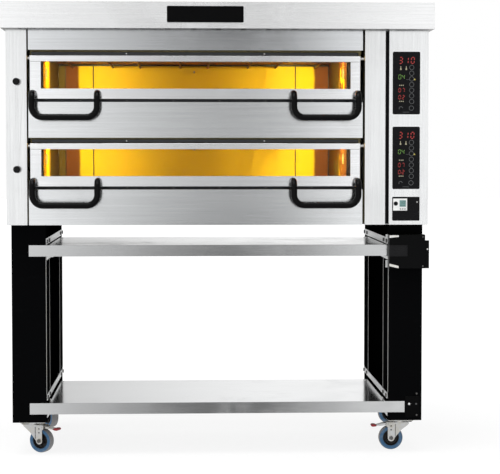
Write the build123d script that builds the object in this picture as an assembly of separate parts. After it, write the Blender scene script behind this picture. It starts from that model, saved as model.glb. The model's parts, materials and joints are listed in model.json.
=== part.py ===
from build123d import *
import os

# Double-deck stone-hearth electric oven on a castor stand.
# Millimetres. +Z up, front is -Y, +X to the right as seen from the front.
# Origin: on the floor, under the centre of the whole object's box.

# ---------------------------------------------------------------- driving dimensions
hood_half_width = 857.0
body_half_width = 842.0
front_y = -502.0
rear_y = 578.0
body_bottom = 946.0
body_top = 1724.0
hood_top = 1828.0
hood_overhang = 60.0
sheet = 1.5
plate = 3.0
fit_gap = 0.06
free_gap = 0.3

deck_pitch = 348.0
lower_door_bottom = 1100.0
door_height = 172.0
door_left = -747.0
door_right = 567.0
door_thickness = 40.0
door_stile = 41.0
bottom_rail = 41.0
top_rail = 23.0
deck_left = -754.0
deck_right = 578.0
apron_drop = 12.0
top_gap = 22.0
hinge_below_top = 10.0
pin_radius = 6.0

left_post_inner = -760.0
right_post_left = 587.0
right_post_right = 669.0
control_left = 684.0
post_return = 60.0
side_return = 40.0

chamber_left = -698.0
chamber_right = 518.0
chamber_front = front_y + 49.0
chamber_back = 360.0
liner = 2.0
hearth_height = 24.0
stone_thickness = 20.0
roof_height = 185.0
mouth_height = 156.0
bays = 4

handle_radius = 12.5
handle_span = 256.0
handle_offset = 517.0
handle_drop = 74.0
handle_root = 22.0

leg_outer = 835.0
leg_inner = 697.0
stand_front = -402.0
stand_rear = 475.0
leg_depth = 166.0
leg_bottom = 138.0
shelf_half_width = 765.0
shelf_body_half = 686.0
shelf_lip = 46.0
shelf_tops = {"upper": 861.0, "lower": 218.0}
rail_heights = {"upper": (862.0, 888.0), "lower": (226.0, 250.0)}
shelf_depth = 660.0

wheel_radius = 50.0
wheel_width = 36.0
castor_height = 128.0
crown_top = 115.2
crown_thickness = 4.2
castor_trail = 38.0
castor_x = 760.0
castor_inset = 112.0
axle_radius = 5.0
king_pin_radius = 6.0

knob_x = -799.0
knob_height = 68.0

# ---------------------------------------------------------------- places that several pieces share
duct_x = (-835.0, -765.0)
duct_y = (300.0, 400.0)
spigot_x, spigot_y = 0.0, 400.0
spigot_radius = 50.0
spigot_length = 50.0
stub_radius = 22.0
stub_start = duct_x[1] + 5
stub_y = 340.0
stub_height = 140.0
lamp_radius = 22.0
lamp_height = 110.0
lamp_y = -330.0
element_radius = 4.5
low_element = -9.0
top_element = 172.0
probe_radius = 3.0
probe_height = 150.0
bush_radius = 9.7
damper_rod = 4.0
keypad_x0, keypad_x1 = 698.0, 808.0
keypad_height = 250.0
keypad_z = {"lower": 1089.0, "upper": 1388.0}
power_z0 = 962.0
switch_radius = 5.0
switch_x, switch_z = 711.0, 1031.0
fan_x, fan_z = 760.0, 1120.0
fan_depth = 38.0
fan_mouth = 56.0
fan_shaft = 3.0
gland_x, gland_y = 740.0, 520.0
gland_radius = 16.0
gland_bore = 9.0
terminal_x0, terminal_x1 = 694.0, 840.0
terminal_z0, terminal_z1 = 766.0, 903.0
terminal_front, terminal_back = -446.0, -406.0
castor_heading = {"front_left": -25.0, "front_right": 180.0, "rear_left": -60.0, "rear_right": 0.0}
pedal_u, pedal_z = 51.0, 107.5
pedal_pin = 3.0

hood_wall = 2.0
slot_length = 80.0
slot_pitch = 100.0
slot_count = 16
spigot_flange = 20.0
name_plate_x, name_plate_z = -52.0, 1779.0
name_plate_half = (151.0, 32.0)
louvre_rows = 9
louvre_pitch = 22.0
louvre_height = 7.0
louvre_y = (380.0, 500.0)
apron_return = 38.0
groove_depth = 31.0
header_height = (4.0, 16.0)

door_wall = 2.0
seam_width = 0.8
seam_depth = 0.6
glass_thickness = 4.0
inner_glass_depth = 32.0
seal_thickness = 6.0
seal_border = 8.0
handle_reach = 76.0

leg_foot = 4.0
bolt_radius = 4.0
bolt_inset = 32.0
bolt_pitch = 100.0

cheek_half = 23.5
cheek_thickness = 2.5
cheek_front = -36.0
cheek_toe = 14.0
castor_plate = 4.0
plate_half = (52.0, 42.0)
plate_bolts = (40.0, 30.0)
rivet_heights = (84.0, 100.0)
latch_flange = 16.5

decks = {"lower": lower_door_bottom, "upper": lower_door_bottom + deck_pitch}
door_centre = (door_left + door_right) / 2
hinge_y = front_y + door_thickness / 2
side_sign = {"left": -1, "right": 1}


# ---------------------------------------------------------------- helpers
def box(x0, x1, y0, y1, z0, z1):
    """Box between two corners."""
    middle = Pos((x0 + x1) / 2, (y0 + y1) / 2, (z0 + z1) / 2)
    return middle * Box(abs(x1 - x0), abs(y1 - y0), abs(z1 - z0))


def rod_x(radius, x0, x1, y, z):
    """Cylinder along X."""
    return Pos((x0 + x1) / 2, y, z) * Rot(0, 90, 0) * Cylinder(radius, abs(x1 - x0))


def rod_y(radius, x, y0, y1, z):
    """Cylinder along Y."""
    return Pos(x, (y0 + y1) / 2, z) * Rot(90, 0, 0) * Cylinder(radius, abs(y1 - y0))


def rod_z(radius, x, y, z0, z1):
    """Cylinder along Z."""
    return Pos(x, y, (z0 + z1) / 2) * Cylinder(radius, abs(z1 - z0))


def fuse(pieces):
    """Join pieces into one solid."""
    whole = pieces[0]
    for piece in pieces[1:]:
        whole = whole + piece
    return whole


def cut(body, tools):
    """Take every tool away from a body."""
    for tool in tools:
        body = body - tool
    return body


def hex_x(across_flats, x0, x1, y, z):
    """Hexagonal bolt head with its axis along X."""
    profile = RegularPolygon(across_flats / 2, 6, major_radius=False)
    return Pos(min(x0, x1), y, z) * Rot(0, 90, 0) * extrude(profile, amount=abs(x1 - x0))


def hex_z(across_flats, x, y, z0, z1):
    """Hexagonal bolt head with its axis along Z."""
    profile = RegularPolygon(across_flats / 2, 6, major_radius=False)
    return Pos(x, y, z0) * extrude(profile, amount=z1 - z0)


def save(name, solids):
    """Write one node, as one solid or as a group of separate ones."""
    group = []
    for solid in solids:
        group.extend(solid.solids())
    shape = group[0] if len(group) == 1 else Compound(children=group)
    shape.label = name
    export_step(shape, f"parts/{name}.step")


# ---------------------------------------------------------------- outer casing
def hood():
    """Folded lid over the body, and its base sheet with a vapour grille under the front overhang."""
    hood_front = front_y - hood_overhang
    inner_half = hood_half_width - hood_wall
    lid = box(-hood_half_width, hood_half_width, hood_front, rear_y, body_top, hood_top)
    lid -= box(-inner_half, inner_half, hood_front + hood_wall, rear_y - hood_wall,
               body_top - 1, hood_top - hood_wall)
    lid -= rod_z(spigot_radius - sheet, spigot_x, spigot_y, hood_top - hood_wall - 1, hood_top + 1)
    base = box(-inner_half, inner_half, hood_front + hood_wall, rear_y - hood_wall,
               body_top, body_top + hood_wall)
    for index in range(slot_count):
        x = (index - (slot_count - 1) / 2) * slot_pitch
        base -= box(x - slot_length / 2, x + slot_length / 2,
                    hood_front + 14, front_y - 12, body_top - 1, body_top + hood_wall + 1)
    base -= box(duct_x[0] + sheet, duct_x[1] - sheet, duct_y[0] + sheet, duct_y[1] - sheet,
                body_top - 1, body_top + hood_wall + 1)
    return [lid, base]


def flue_spigot():
    """Round collar on the hood that an extraction pipe slides over, and its flange."""
    flange_top = hood_top + hood_wall
    bore = rod_z(spigot_radius - sheet, spigot_x, spigot_y, hood_top - 1, flange_top + spigot_length + 1)
    flange = rod_z(spigot_radius + spigot_flange, spigot_x, spigot_y, hood_top, flange_top)
    tube = rod_z(spigot_radius, spigot_x, spigot_y, flange_top, flange_top + spigot_length)
    return [flange - bore, tube - bore]


def name_plate():
    """Blank plate on the hood's front."""
    hood_front = front_y - hood_overhang
    half_x, half_z = name_plate_half
    blank = box(name_plate_x - half_x, name_plate_x + half_x, hood_front - 4, hood_front,
                name_plate_z - half_z, name_plate_z + half_z)
    return fillet(blank.edges().filter_by(Axis.Y), 4)


def side_covers():
    """Flat side sheets; the right one is louvred beside the controls."""
    covers = []
    start_y = front_y + side_return
    for side, sign in side_sign.items():
        cover = box(sign * (body_half_width - sheet), sign * body_half_width,
                    start_y, rear_y, body_bottom, body_top)
        if side == "right":
            for row in range(louvre_rows):
                z = body_bottom + 70 + row * louvre_pitch
                cover -= box(body_half_width - 5, body_half_width + 5, *louvre_y, z, z + louvre_height)
        covers.append(cover)
    return covers


def rear_cover():
    """Back sheet with slots over the cooling fan."""
    half = body_half_width - sheet
    cover = box(-half, half, rear_y - sheet, rear_y, body_bottom, body_top)
    for row in range(-4, 5):
        z = fan_z + row * 11
        reach = (fan_mouth ** 2 - (row * 11) ** 2) ** 0.5 - 3
        cover -= box(fan_x - reach, fan_x + reach, rear_y - 5, rear_y + 5, z - 3, z + 3)
    return cover


def base_pan():
    """Floor sheet of the body, with the hole for the supply cable's gland."""
    half = body_half_width - sheet
    pan = box(-half, half, front_y + 64, rear_y - sheet, body_bottom, body_bottom + 2)
    return pan - rod_z(gland_radius + free_gap, gland_x, gland_y, body_bottom - 1, body_bottom + 3)


def bush_holes():
    """Holes for the door hinge bushes in both posts."""
    holes = []
    for door_bottom in decks.values():
        z = door_bottom + door_height - hinge_below_top
        holes.append(rod_x(bush_radius + free_gap, left_post_inner - 5, left_post_inner + 5, hinge_y, z))
        holes.append(rod_x(bush_radius + free_gap, right_post_left - 5, right_post_left + 5, hinge_y, z))
    return holes


def left_post():
    """Folded front post that carries the left hinges and the damper rods."""
    back = front_y + sheet
    face = box(-body_half_width, left_post_inner, front_y, back, body_bottom, body_top)
    outer = box(-body_half_width, -body_half_width + sheet, back, front_y + side_return,
                body_bottom, body_top)
    inner = box(left_post_inner - sheet, left_post_inner, back, front_y + post_return,
                body_bottom, body_top)
    rods = [rod_y(damper_rod + 1, knob_x, front_y - 5, front_y + 5, door_bottom + knob_height)
            for door_bottom in decks.values()]
    return cut(fuse([face, outer, inner]), bush_holes() + rods)


def right_post():
    """Folded front post with the recessed groove beside the controls."""
    back = front_y + sheet
    groove_y = front_y + groove_depth
    face = box(right_post_left, right_post_right, front_y, back, body_bottom, body_top)
    inner = box(right_post_left, right_post_left + sheet, back, front_y + post_return,
                body_bottom, body_top)
    outer = box(right_post_right - sheet, right_post_right, back, groove_y, body_bottom, body_top)
    groove = box(right_post_right - sheet, control_left, groove_y, groove_y + sheet,
                 body_bottom, body_top)
    return cut(fuse([face, inner, outer, groove]), bush_holes())


def control_fascia():
    """Folded front of the control column."""
    back = front_y + sheet
    face = box(control_left, body_half_width, front_y, back, body_bottom, body_top)
    inner = box(control_left, control_left + sheet, back, front_y + side_return,
                body_bottom, body_top)
    outer = box(body_half_width - sheet, body_half_width, back, front_y + side_return,
                body_bottom, body_top)
    return fuse([face, inner, outer])


def front_panel(z0, z1, bottom_return):
    """Panel across the deck zone, folded back at its top and bottom edges."""
    back = front_y + sheet
    face = box(deck_left, deck_right, front_y, back, z0, z1)
    top = box(deck_left, deck_right, back, front_y + apron_return, z1 - sheet, z1)
    bottom = box(deck_left, deck_right, back, front_y + bottom_return, z0, z0 + sheet)
    return fuse([face, top, bottom])


def deck_aprons():
    """Panels under the two doors."""
    lower = front_panel(body_bottom, decks["lower"] - apron_drop, post_return)
    upper = front_panel(decks["lower"] + door_height + top_gap, decks["upper"] - apron_drop,
                        apron_return)
    return [lower, upper]


def upper_fascia():
    """Panel over the upper door."""
    return front_panel(decks["upper"] + door_height + top_gap, body_top, apron_return)


def door_headers():
    """Bars inside the gaps over the doors."""
    bars = []
    for door_bottom in decks.values():
        z = door_bottom + door_height
        bars.append(box(deck_left + 9, deck_right - 13, chamber_front - 8, chamber_front - liner,
                        z + header_height[0], z + header_height[1]))
    return bars


# ---------------------------------------------------------------- baking chambers
def bay_edges():
    """X of the lines between the stones, both ends included."""
    width = (chamber_right - chamber_left) / bays
    return [chamber_left + width * index for index in range(bays + 1)]


def hairpin_legs():
    """X of the two legs of each bay's heating element."""
    edges = bay_edges()
    return [(x0 + 62, x1 - 62) for x0, x1 in zip(edges[:-1], edges[1:])]


def mouth_strips(door_bottom):
    """Four flat strips round the chamber's mouth: sill, lintel and the two jambs."""
    y0, y1 = chamber_front - liner, chamber_front
    x0, x1 = door_left + 2, door_right - 2
    z0, z1 = door_bottom + hearth_height, door_bottom + mouth_height
    sill = box(x0, x1, y0, y1, door_bottom - 10, z0)
    lintel = box(x0, x1, y0, y1, z1, door_bottom + roof_height + liner)
    jambs = [box(x0, chamber_left, y0, y1, z0, z1), box(chamber_right, x1, y0, y1, z0, z1)]
    return [sill, lintel] + jambs


def chamber(door_bottom):
    """Steel liner: floor, walls, roof, mouth strips and the rails under the stones."""
    floor_z = door_bottom - 22
    roof_z = door_bottom + roof_height
    left, right = chamber_left, chamber_right
    outer_left, outer_right = left - liner, right + liner
    mouth = mouth_strips(door_bottom)
    floor = box(outer_left, outer_right, chamber_front, chamber_back + liner, floor_z, floor_z + liner)
    roof = box(outer_left, outer_right, chamber_front, chamber_back + liner, roof_z, roof_z + liner)
    left_wall = box(outer_left, left, chamber_front, chamber_back + liner, floor_z + liner, roof_z)
    right_wall = box(right, outer_right, chamber_front, chamber_back + liner, floor_z + liner, roof_z)
    back_wall = box(left, right, chamber_back, chamber_back + liner, floor_z + liner, roof_z)
    left_wall -= rod_x(stub_radius - sheet, left - 5, left + 5, stub_y, door_bottom + stub_height)
    lamp_z = door_bottom + lamp_height
    left_wall -= rod_x(lamp_radius + 0.5, left - 5, left + 5, lamp_y, lamp_z)
    right_wall -= rod_x(lamp_radius + 0.5, right - 5, right + 5, lamp_y, lamp_z)
    for legs in hairpin_legs():
        for x in legs:
            for z in (door_bottom + low_element, door_bottom + top_element):
                back_wall -= rod_y(element_radius + 0.5, x, chamber_back - 5, chamber_back + 5, z)
    back_wall -= rod_y(probe_radius + 0.5, door_centre, chamber_back - 5, chamber_back + 5,
                       door_bottom + probe_height)
    rails = []
    for x in bay_edges():
        x0 = max(x - 6, left)
        x1 = min(x + 6, right)
        rails.append(box(x0, x1, chamber_front + 3, chamber_back - 2, floor_z + liner,
                         door_bottom + hearth_height - stone_thickness))
    return mouth + [floor, roof, left_wall, right_wall, back_wall] + rails


def hearth_stones():
    """Two rows of stone slabs in each chamber, with an expansion gap round each."""
    stones = []
    edges = bay_edges()
    middle_y = (chamber_front + chamber_back) / 2
    rows = [(chamber_front + 1, middle_y - 0.5), (middle_y + 0.5, chamber_back - 1)]
    for door_bottom in decks.values():
        top = door_bottom + hearth_height
        for x0, x1 in zip(edges[:-1], edges[1:]):
            for y0, y1 in rows:
                stones.append(box(x0 + 0.75, x1 - 0.75, y0, y1, top - stone_thickness, top))
    return stones


def hairpin(x0, x1, z):
    """Tubular heating element that enters and leaves through the back wall."""
    tail_y = chamber_back + 20
    turn_y = chamber_front + 55
    path = FilletPolyline((x0, tail_y, z), (x0, turn_y, z), (x1, turn_y, z), (x1, tail_y, z),
                          radius=40)
    profile = Plane(origin=path @ 0, z_dir=path % 0) * Circle(element_radius)
    return sweep(profile, path=path)


def heating_elements():
    """Bottom and top heat, one hairpin a bay."""
    elements = []
    for door_bottom in decks.values():
        for x0, x1 in hairpin_legs():
            for height in (low_element, top_element):
                elements.append(hairpin(x0, x1, door_bottom + height))
    return elements


def chamber_lamps():
    """Lamp capsules in the side walls, each with a lens just inside the chamber."""
    lamps = []
    for door_bottom in decks.values():
        z = door_bottom + lamp_height
        for wall_x, sign in ((chamber_left, -1), (chamber_right, 1)):
            body = rod_x(lamp_radius, wall_x - sign * 4, wall_x + sign * 44, lamp_y, z)
            lamps.append(chamfer(body.edges().group_by(Axis.X)[0 if sign > 0 else -1], 2))
    return lamps


def thermocouples():
    """One probe through the back wall of each chamber."""
    probes = []
    for door_bottom in decks.values():
        z = door_bottom + probe_height
        probes.append(rod_y(probe_radius, door_centre, chamber_back - 60, chamber_back + 20, z))
    return probes


def insulation():
    """Mineral wool boards round the chambers."""
    x0, x1 = deck_left + 2, deck_right - 2
    y0, y1 = chamber_front + 15, chamber_back + 20
    lower, upper = decks["lower"], decks["upper"]
    under = 22
    over = roof_height + liner
    boards = [box(x0, x1, y0, y1, body_bottom + 4, lower - under),
              box(x0, x1, y0, y1, lower + over, upper - under),
              box(x0, x1, y0, y1, upper + over, body_top - 4)]
    for door_bottom in decks.values():
        z0, z1 = door_bottom - under, door_bottom + over
        lamp_z = door_bottom + lamp_height
        left = box(x0, chamber_left - liner, y0, y1, z0, z1)
        left -= rod_x(lamp_radius + 1, x0 - 1, chamber_left, lamp_y, lamp_z)
        left -= rod_x(stub_radius + 0.5, x0 - 1, chamber_left, stub_y, door_bottom + stub_height)
        right = box(chamber_right + liner, x1, y0, y1, z0, z1)
        right -= rod_x(lamp_radius + 1, chamber_right, x1 + 1, lamp_y, lamp_z)
        boards += [left, right]
    boards.append(box(x0, x1, y1 + 2, y1 + 62, body_bottom + 4, body_top - 4))
    return boards


def flue_duct():
    """Riser from the chambers to the hood, with one stub from each chamber."""
    x0, x1 = duct_x
    y0, y1 = duct_y
    riser = box(x0, x1, y0, y1, decks["lower"], body_top)
    riser -= box(x0 + sheet, x1 - sheet, y0 + sheet, y1 - sheet, decks["lower"] + sheet, body_top + 1)
    pieces = []
    for door_bottom in decks.values():
        z = door_bottom + stub_height
        riser -= rod_x(stub_radius - sheet, x1 - 5, x1 + 5, stub_y, z)
        stub = rod_x(stub_radius, stub_start, chamber_left - liner, stub_y, z)
        stub -= rod_x(stub_radius - sheet, stub_start - 1, chamber_left, stub_y, z)
        pieces.append(stub)
    return [riser] + pieces


# ---------------------------------------------------------------- doors
def hinge_bushes():
    """Flanged bushes in the posts, one at each end of each door."""
    bushes = []
    for door_bottom in decks.values():
        z = door_bottom + door_height - hinge_below_top
        for inner, outward in ((left_post_inner, -1), (right_post_left, 1)):
            flange = rod_x(bush_radius + 4, inner - outward * 2, inner, hinge_y, z)
            sleeve = rod_x(bush_radius, inner - outward * 2, inner + outward * 8, hinge_y, z)
            bore = rod_x(pin_radius + fit_gap, inner - outward * 3, inner + outward * 9, hinge_y, z)
            bushes.append(flange + sleeve - bore)
    return bushes


def window(door_bottom):
    """Corners of the door's window: left, right, bottom, top."""
    return (door_left + door_stile + 2, door_right - door_stile + 3,
            door_bottom + bottom_rail, door_bottom + door_height - top_rail)


def door_frame(door_bottom):
    """Folded front pan with the window cut out, closed by an inner panel."""
    wall = door_wall
    back = front_y + door_thickness
    top = door_bottom + door_height
    x0, x1, z0, z1 = window(door_bottom)
    pan = box(door_left, door_right, front_y, back - wall, door_bottom, top)
    pan = fillet(pan.edges().filter_by(Axis.X).group_by(Axis.Y)[0], 1.5)
    pan -= box(door_left + wall, door_right - wall, front_y + wall, back, door_bottom + wall, top - wall)
    pan -= box(x0, x1, front_y - 1, front_y + wall + 1, z0, z1)
    for stile_x0, stile_x1 in ((door_left - 1, x0 + 1), (x1 - 1, door_right + 1)):
        pan -= box(stile_x0, stile_x1, front_y - 1, front_y + seam_depth, z1 - seam_width, z1)
    inner = box(door_left, door_right, back - wall, back, door_bottom, top)
    inner -= box(x0, x1, back - wall - 1, back + 1, z0, z1)
    return [pan, inner]


def door_glass(door_bottom):
    """Outer and inner panes."""
    x0, x1, z0, z1 = window(door_bottom)
    border = 8
    panes = []
    for y in (front_y + door_wall, front_y + inner_glass_depth):
        panes.append(box(x0 - border, x1 + border, y, y + glass_thickness, z0 - border, z1 + border))
    return panes


def door_gasket(door_bottom):
    """Spacer frame between the panes, and the seal that meets the chamber's mouth."""
    x0, x1, z0, z1 = window(door_bottom)
    spacer = box(x0 - 6, x1 + 6, front_y + door_wall + glass_thickness, front_y + inner_glass_depth,
                 z0 - 6, z1 + 6)
    spacer -= box(x0 - 1, x1 + 1, front_y, front_y + 40, z0 - 1, z1 + 1)
    keeper = box(x0 - 6, x1 + 6, front_y + inner_glass_depth + glass_thickness,
                 front_y + door_thickness - door_wall, z0 - 6, z1 + 6)
    keeper -= box(x0 - 1, x1 + 1, front_y, front_y + 60, z0 - 1, z1 + 1)
    back = front_y + door_thickness
    seal_x0, seal_x1 = chamber_left - 14, chamber_right + 14
    seal_z0, seal_z1 = door_bottom + 12, door_bottom + door_height - hinge_below_top
    seal = box(seal_x0, seal_x1, back, back + seal_thickness, seal_z0, seal_z1)
    seal -= box(seal_x0 + seal_border, seal_x1 - seal_border, back - 1, back + seal_thickness + 1,
                seal_z0 + seal_border, seal_z1 - seal_border)
    return [spacer, keeper, seal]


def hinge_pins(door_bottom):
    """Flanged pins on the ends of a door."""
    z = door_bottom + door_height - hinge_below_top
    pins = []
    for end_x, outward, reach in ((door_left, -1, 19), (door_right, 1, 26)):
        flange = box(end_x, end_x + outward * 2, hinge_y - 15, hinge_y + 15, z - 9, z + 9)
        pin = rod_x(pin_radius, end_x + outward, end_x + outward * reach, hinge_y, z)
        pins.append(flange + pin)
    return pins


def door_handles(door_bottom):
    """Two bent-tube loops that hang below the door."""
    root_z = door_bottom + handle_root
    grip_z = door_bottom - handle_drop
    grip_y = front_y - handle_reach + handle_radius
    loops = []
    for sign in side_sign.values():
        centre = door_centre + sign * handle_offset
        x0, x1 = centre - handle_span / 2, centre + handle_span / 2
        path = FilletPolyline((x0, front_y, root_z), (x0, grip_y, root_z), (x0, grip_y, grip_z),
                              (x1, grip_y, grip_z), (x1, grip_y, root_z), (x1, front_y, root_z),
                              radius=[28, 42, 42, 28])
        profile = Plane(origin=path @ 0, z_dir=path % 0) * Circle(handle_radius)
        loops.append(sweep(profile, path=path))
    return loops


# ---------------------------------------------------------------- dampers and controls
def damper(door_bottom):
    """Pull knob, rod and the blade that slides over the chamber's flue stub."""
    rod_z_pos = door_bottom + knob_height
    knob = rod_y(14, knob_x, front_y - 28, front_y - 4, rod_z_pos)
    knob = fillet(knob.edges().group_by(Axis.Y)[0], 4)
    arm_y = duct_y[0] - 14
    rod = rod_y(damper_rod, knob_x, front_y - 8, arm_y + 2, rod_z_pos)
    blade_x = duct_x[1] + 1
    blade_top = door_bottom + stub_height + 30
    arm = box(knob_x - 6, blade_x + 2, arm_y, arm_y + 4, rod_z_pos - 6, blade_top)
    blade = box(blade_x, blade_x + 2, arm_y + 4, stub_y + 30, blade_top - 60, blade_top)
    return fuse([knob, rod, arm, blade])


def keypad(z0):
    """Sealed foil keypad."""
    pad = box(keypad_x0, keypad_x1, front_y - 2, front_y, z0, z0 + keypad_height)
    return fillet(pad.edges().filter_by(Axis.Y), 6)


def power_panel():
    """Black carrier plate for the timer and the indicator."""
    panel = box(keypad_x0, keypad_x1, front_y - 3, front_y, power_z0, power_z0 + 96)
    return fillet(panel.edges().filter_by(Axis.Y), 4)


def timer_module():
    """Clock module with a pocket for its push switch."""
    case = box(keypad_x0 + 3, keypad_x0 + 59, front_y - 11, front_y - 3, power_z0 + 41, power_z0 + 89)
    case = chamfer(case.edges().group_by(Axis.Y)[0], 1)
    return case - rod_y(switch_radius + 0.5, switch_x, front_y - 12, front_y - 6, switch_z)


def main_switch():
    """Push button in the timer's pocket."""
    button = rod_y(switch_radius, switch_x, front_y - 13, front_y - 8.2, switch_z)
    return fillet(button.edges().group_by(Axis.Y)[0], 0.8)


def control_electronics():
    """Mounting plate with contactors and a transformer, the display boards, and terminals."""
    plate_x = 700.0
    pieces = [box(plate_x, plate_x + 2, -380, 330, 1000, 1650)]
    for row in range(3):
        z = 1080 + row * 170
        pieces.append(box(plate_x + 2, plate_x + 9, -340, 290, z - 17, z + 17))
        for column in range(5):
            y = -290 + column * 120
            contactor = box(plate_x + 9, plate_x + 92, y - 22, y + 22, z - 40, z + 40)
            pieces.append(chamfer(contactor.edges().group_by(Axis.X)[-1], 5))
    pieces.append(box(plate_x + 2, plate_x + 95, -60, 50, 1560, 1640))
    for z0 in keypad_z.values():
        pieces.append(box(keypad_x0 + 4, keypad_x1 - 4, front_y + 6, front_y + 22, z0 + 6, z0 + 244))
    pieces.append(box(714, 824, terminal_front + 8, terminal_back - 2, 805, 835))
    return pieces


def fan_frame():
    """Square fan frame with a hub on three spokes and a fixed shaft."""
    y1 = rear_y - sheet
    y0 = y1 - fan_depth
    half = 60.0
    frame = box(fan_x - half, fan_x + half, y0, y1, fan_z - half, fan_z + half)
    frame = fillet(frame.edges().filter_by(Axis.Y), 5)
    frame -= rod_y(fan_mouth, fan_x, y0 - 1, y1 + 1, fan_z)
    hub = rod_y(22, fan_x, y0, y0 + 6, fan_z)
    shaft = rod_y(fan_shaft, fan_x, y0 + 5, y1 - 6, fan_z)
    spokes = []
    for index in range(3):
        turn = Rot(0, 120 * index + 30, 0)
        spokes.append(Pos(fan_x, y0 + 2, fan_z) * turn * Pos(fan_mouth / 2, 0, 0)
                      * Box(fan_mouth + 4, 4, 5))
    return fuse([frame, hub, shaft] + spokes)


def fan_rotor():
    """Seven pitched blades on a hub."""
    y1 = rear_y - sheet
    y0 = y1 - fan_depth
    hub = rod_y(20, fan_x, y0 + 7, y1 - 7, fan_z)
    blades = []
    for index in range(7):
        turn = Rot(0, 360 / 7 * index, 0)
        blades.append(Pos(fan_x, (y0 + y1) / 2, fan_z) * turn * Pos(35, 0, 0) * Rot(38, 0, 0)
                      * Box(34, 26, 1.6))
    bore = rod_y(fan_shaft + fit_gap, fan_x, y0, y1, fan_z)
    return fuse([hub] + blades) - bore


def cable_gland():
    """Gland for the supply cable under the body, with its locknut."""
    thread = rod_z(gland_radius, gland_x, gland_y, body_bottom - 4, body_bottom + 12)
    body = hex_z(40, gland_x, gland_y, body_bottom - 12, body_bottom)
    cap = rod_z(17, gland_x, gland_y, body_bottom - 26, body_bottom - 12)
    bore = rod_z(gland_bore, gland_x, gland_y, body_bottom - 27, body_bottom + 13)
    nut = hex_z(42, gland_x, gland_y, body_bottom + 2, body_bottom + 8)
    nut -= rod_z(gland_radius + free_gap, gland_x, gland_y, body_bottom, body_bottom + 9)
    return [fuse([thread, body, cap]) - bore, nut]


# ---------------------------------------------------------------- stand
def bolt_places():
    """Side, Y and Z of every bolt in the side rails."""
    near = stand_front + bolt_inset
    far = stand_rear - bolt_inset
    places = []
    for z0, z1 in rail_heights.values():
        for sign in side_sign.values():
            for y in (near, near + bolt_pitch, far - bolt_pitch, far):
                places.append((sign, y, (z0 + z1) / 2))
    return places


def leg(sign, at_front):
    """Folded channel leg with a foot plate and a packing plate for its castor."""
    face_y = stand_front if at_front else stand_rear
    inward = 1 if at_front else -1
    deep_y = face_y + inward * leg_depth
    face = box(sign * leg_inner, sign * leg_outer, face_y, face_y + inward * plate,
               leg_bottom, body_bottom)
    outer = box(sign * (leg_outer - plate), sign * leg_outer, face_y, deep_y, leg_bottom, body_bottom)
    inner = box(sign * leg_inner, sign * (leg_inner + plate), face_y, deep_y, leg_bottom, body_bottom)
    foot = box(sign * leg_inner, sign * leg_outer, face_y, deep_y, leg_bottom, leg_bottom + leg_foot)
    head = box(sign * leg_inner, sign * leg_outer, face_y, deep_y, body_bottom - leg_foot, body_bottom)
    half_x, half_y = plate_half
    x, y = sign * castor_x, face_y + inward * castor_inset
    packing = box(x - half_x, x + half_x, y - half_y, y + half_y, castor_height, leg_bottom)
    holes = [rod_z(bolt_radius + free_gap, x + dx, y + dy, castor_height - 1, leg_bottom + leg_foot + 1)
             for dx, dy in plate_pattern()]
    for side, bolt_y, z in bolt_places():
        if side == sign:
            holes.append(rod_x(bolt_radius + free_gap, sign * (leg_inner - 5), sign * (leg_inner + 5),
                               bolt_y, z))
    return cut(fuse([face, outer, inner, foot, head, packing]), holes)


def stand_legs():
    """The four legs."""
    return [leg(sign, at_front) for sign in side_sign.values() for at_front in (True, False)]


def stand_side_panels():
    """Flat panels between the front and rear legs."""
    y0, y1 = stand_front + leg_depth, stand_rear - leg_depth
    return [box(sign * (leg_outer - 2), sign * (leg_outer - 0.5), y0, y1, leg_bottom + 22, body_bottom - 6)
            for sign in side_sign.values()]


def side_rails():
    """Rails on the inner faces of the legs, shelf ledges, and the terminal box's brackets."""
    y0, y1 = stand_front + 12, stand_rear - 8
    rails = []
    for name, (z0, z1) in rail_heights.items():
        ledge_z = shelf_tops[name] - shelf_lip
        for sign in side_sign.values():
            rail = box(sign * (leg_inner - plate), sign * leg_inner, y0, y1, z0, z1)
            holes = [rod_x(bolt_radius + free_gap, sign * (leg_inner - 5), sign * (leg_inner + 5), y, z)
                     for side, y, z in bolt_places() if side == sign and z0 < z < z1]
            rails.append(cut(rail, holes))
            ledge = box(sign * 668, sign * leg_inner, y0, y1, ledge_z - plate, ledge_z)
            web = box(sign * (leg_inner - plate), sign * leg_inner, y0, y1, ledge_z - 16, ledge_z)
            rails.append(ledge + web)
    for z0, z1 in ((885, 903), (768, 798)):
        rails.append(box(684, terminal_x0, terminal_back - 6, terminal_back, z0, z1))
    return rails


def shelf(top_z):
    """Inverted tray whose front lip runs on in front of the legs."""
    x1 = shelf_body_half
    y0 = stand_front - 2
    y1 = y0 + shelf_depth
    top = box(-x1, x1, y0, y1, top_z - sheet, top_z)
    lip = box(-shelf_half_width, shelf_half_width, y0 - sheet, y0, top_z - shelf_lip, top_z)
    rear = box(-x1, x1, y1 - sheet, y1, top_z - shelf_lip, top_z)
    sides = [box(sign * (x1 - sheet), sign * x1, y0, y1, top_z - shelf_lip, top_z)
             for sign in side_sign.values()]
    return fuse([top, lip, rear] + sides)


def stand_bolts():
    """Rail bolts, and the castor plates' bolts."""
    bolts = []
    for sign, y, z in bolt_places():
        head = hex_x(13, sign * (leg_inner - plate), sign * (leg_inner - plate - 5), y, z)
        shank = rod_x(bolt_radius, sign * (leg_inner - plate - 1), sign * (leg_inner + 12), y, z)
        bolts.append(head + shank)
    for x, y in castor_places().values():
        for dx, dy in plate_pattern():
            seat = castor_height - castor_plate
            head = hex_z(13, x + dx, y + dy, seat - 5, seat)
            shank = rod_z(bolt_radius, x + dx, y + dy, seat - 1, leg_bottom + 12)
            bolts.append(head + shank)
    return bolts


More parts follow.
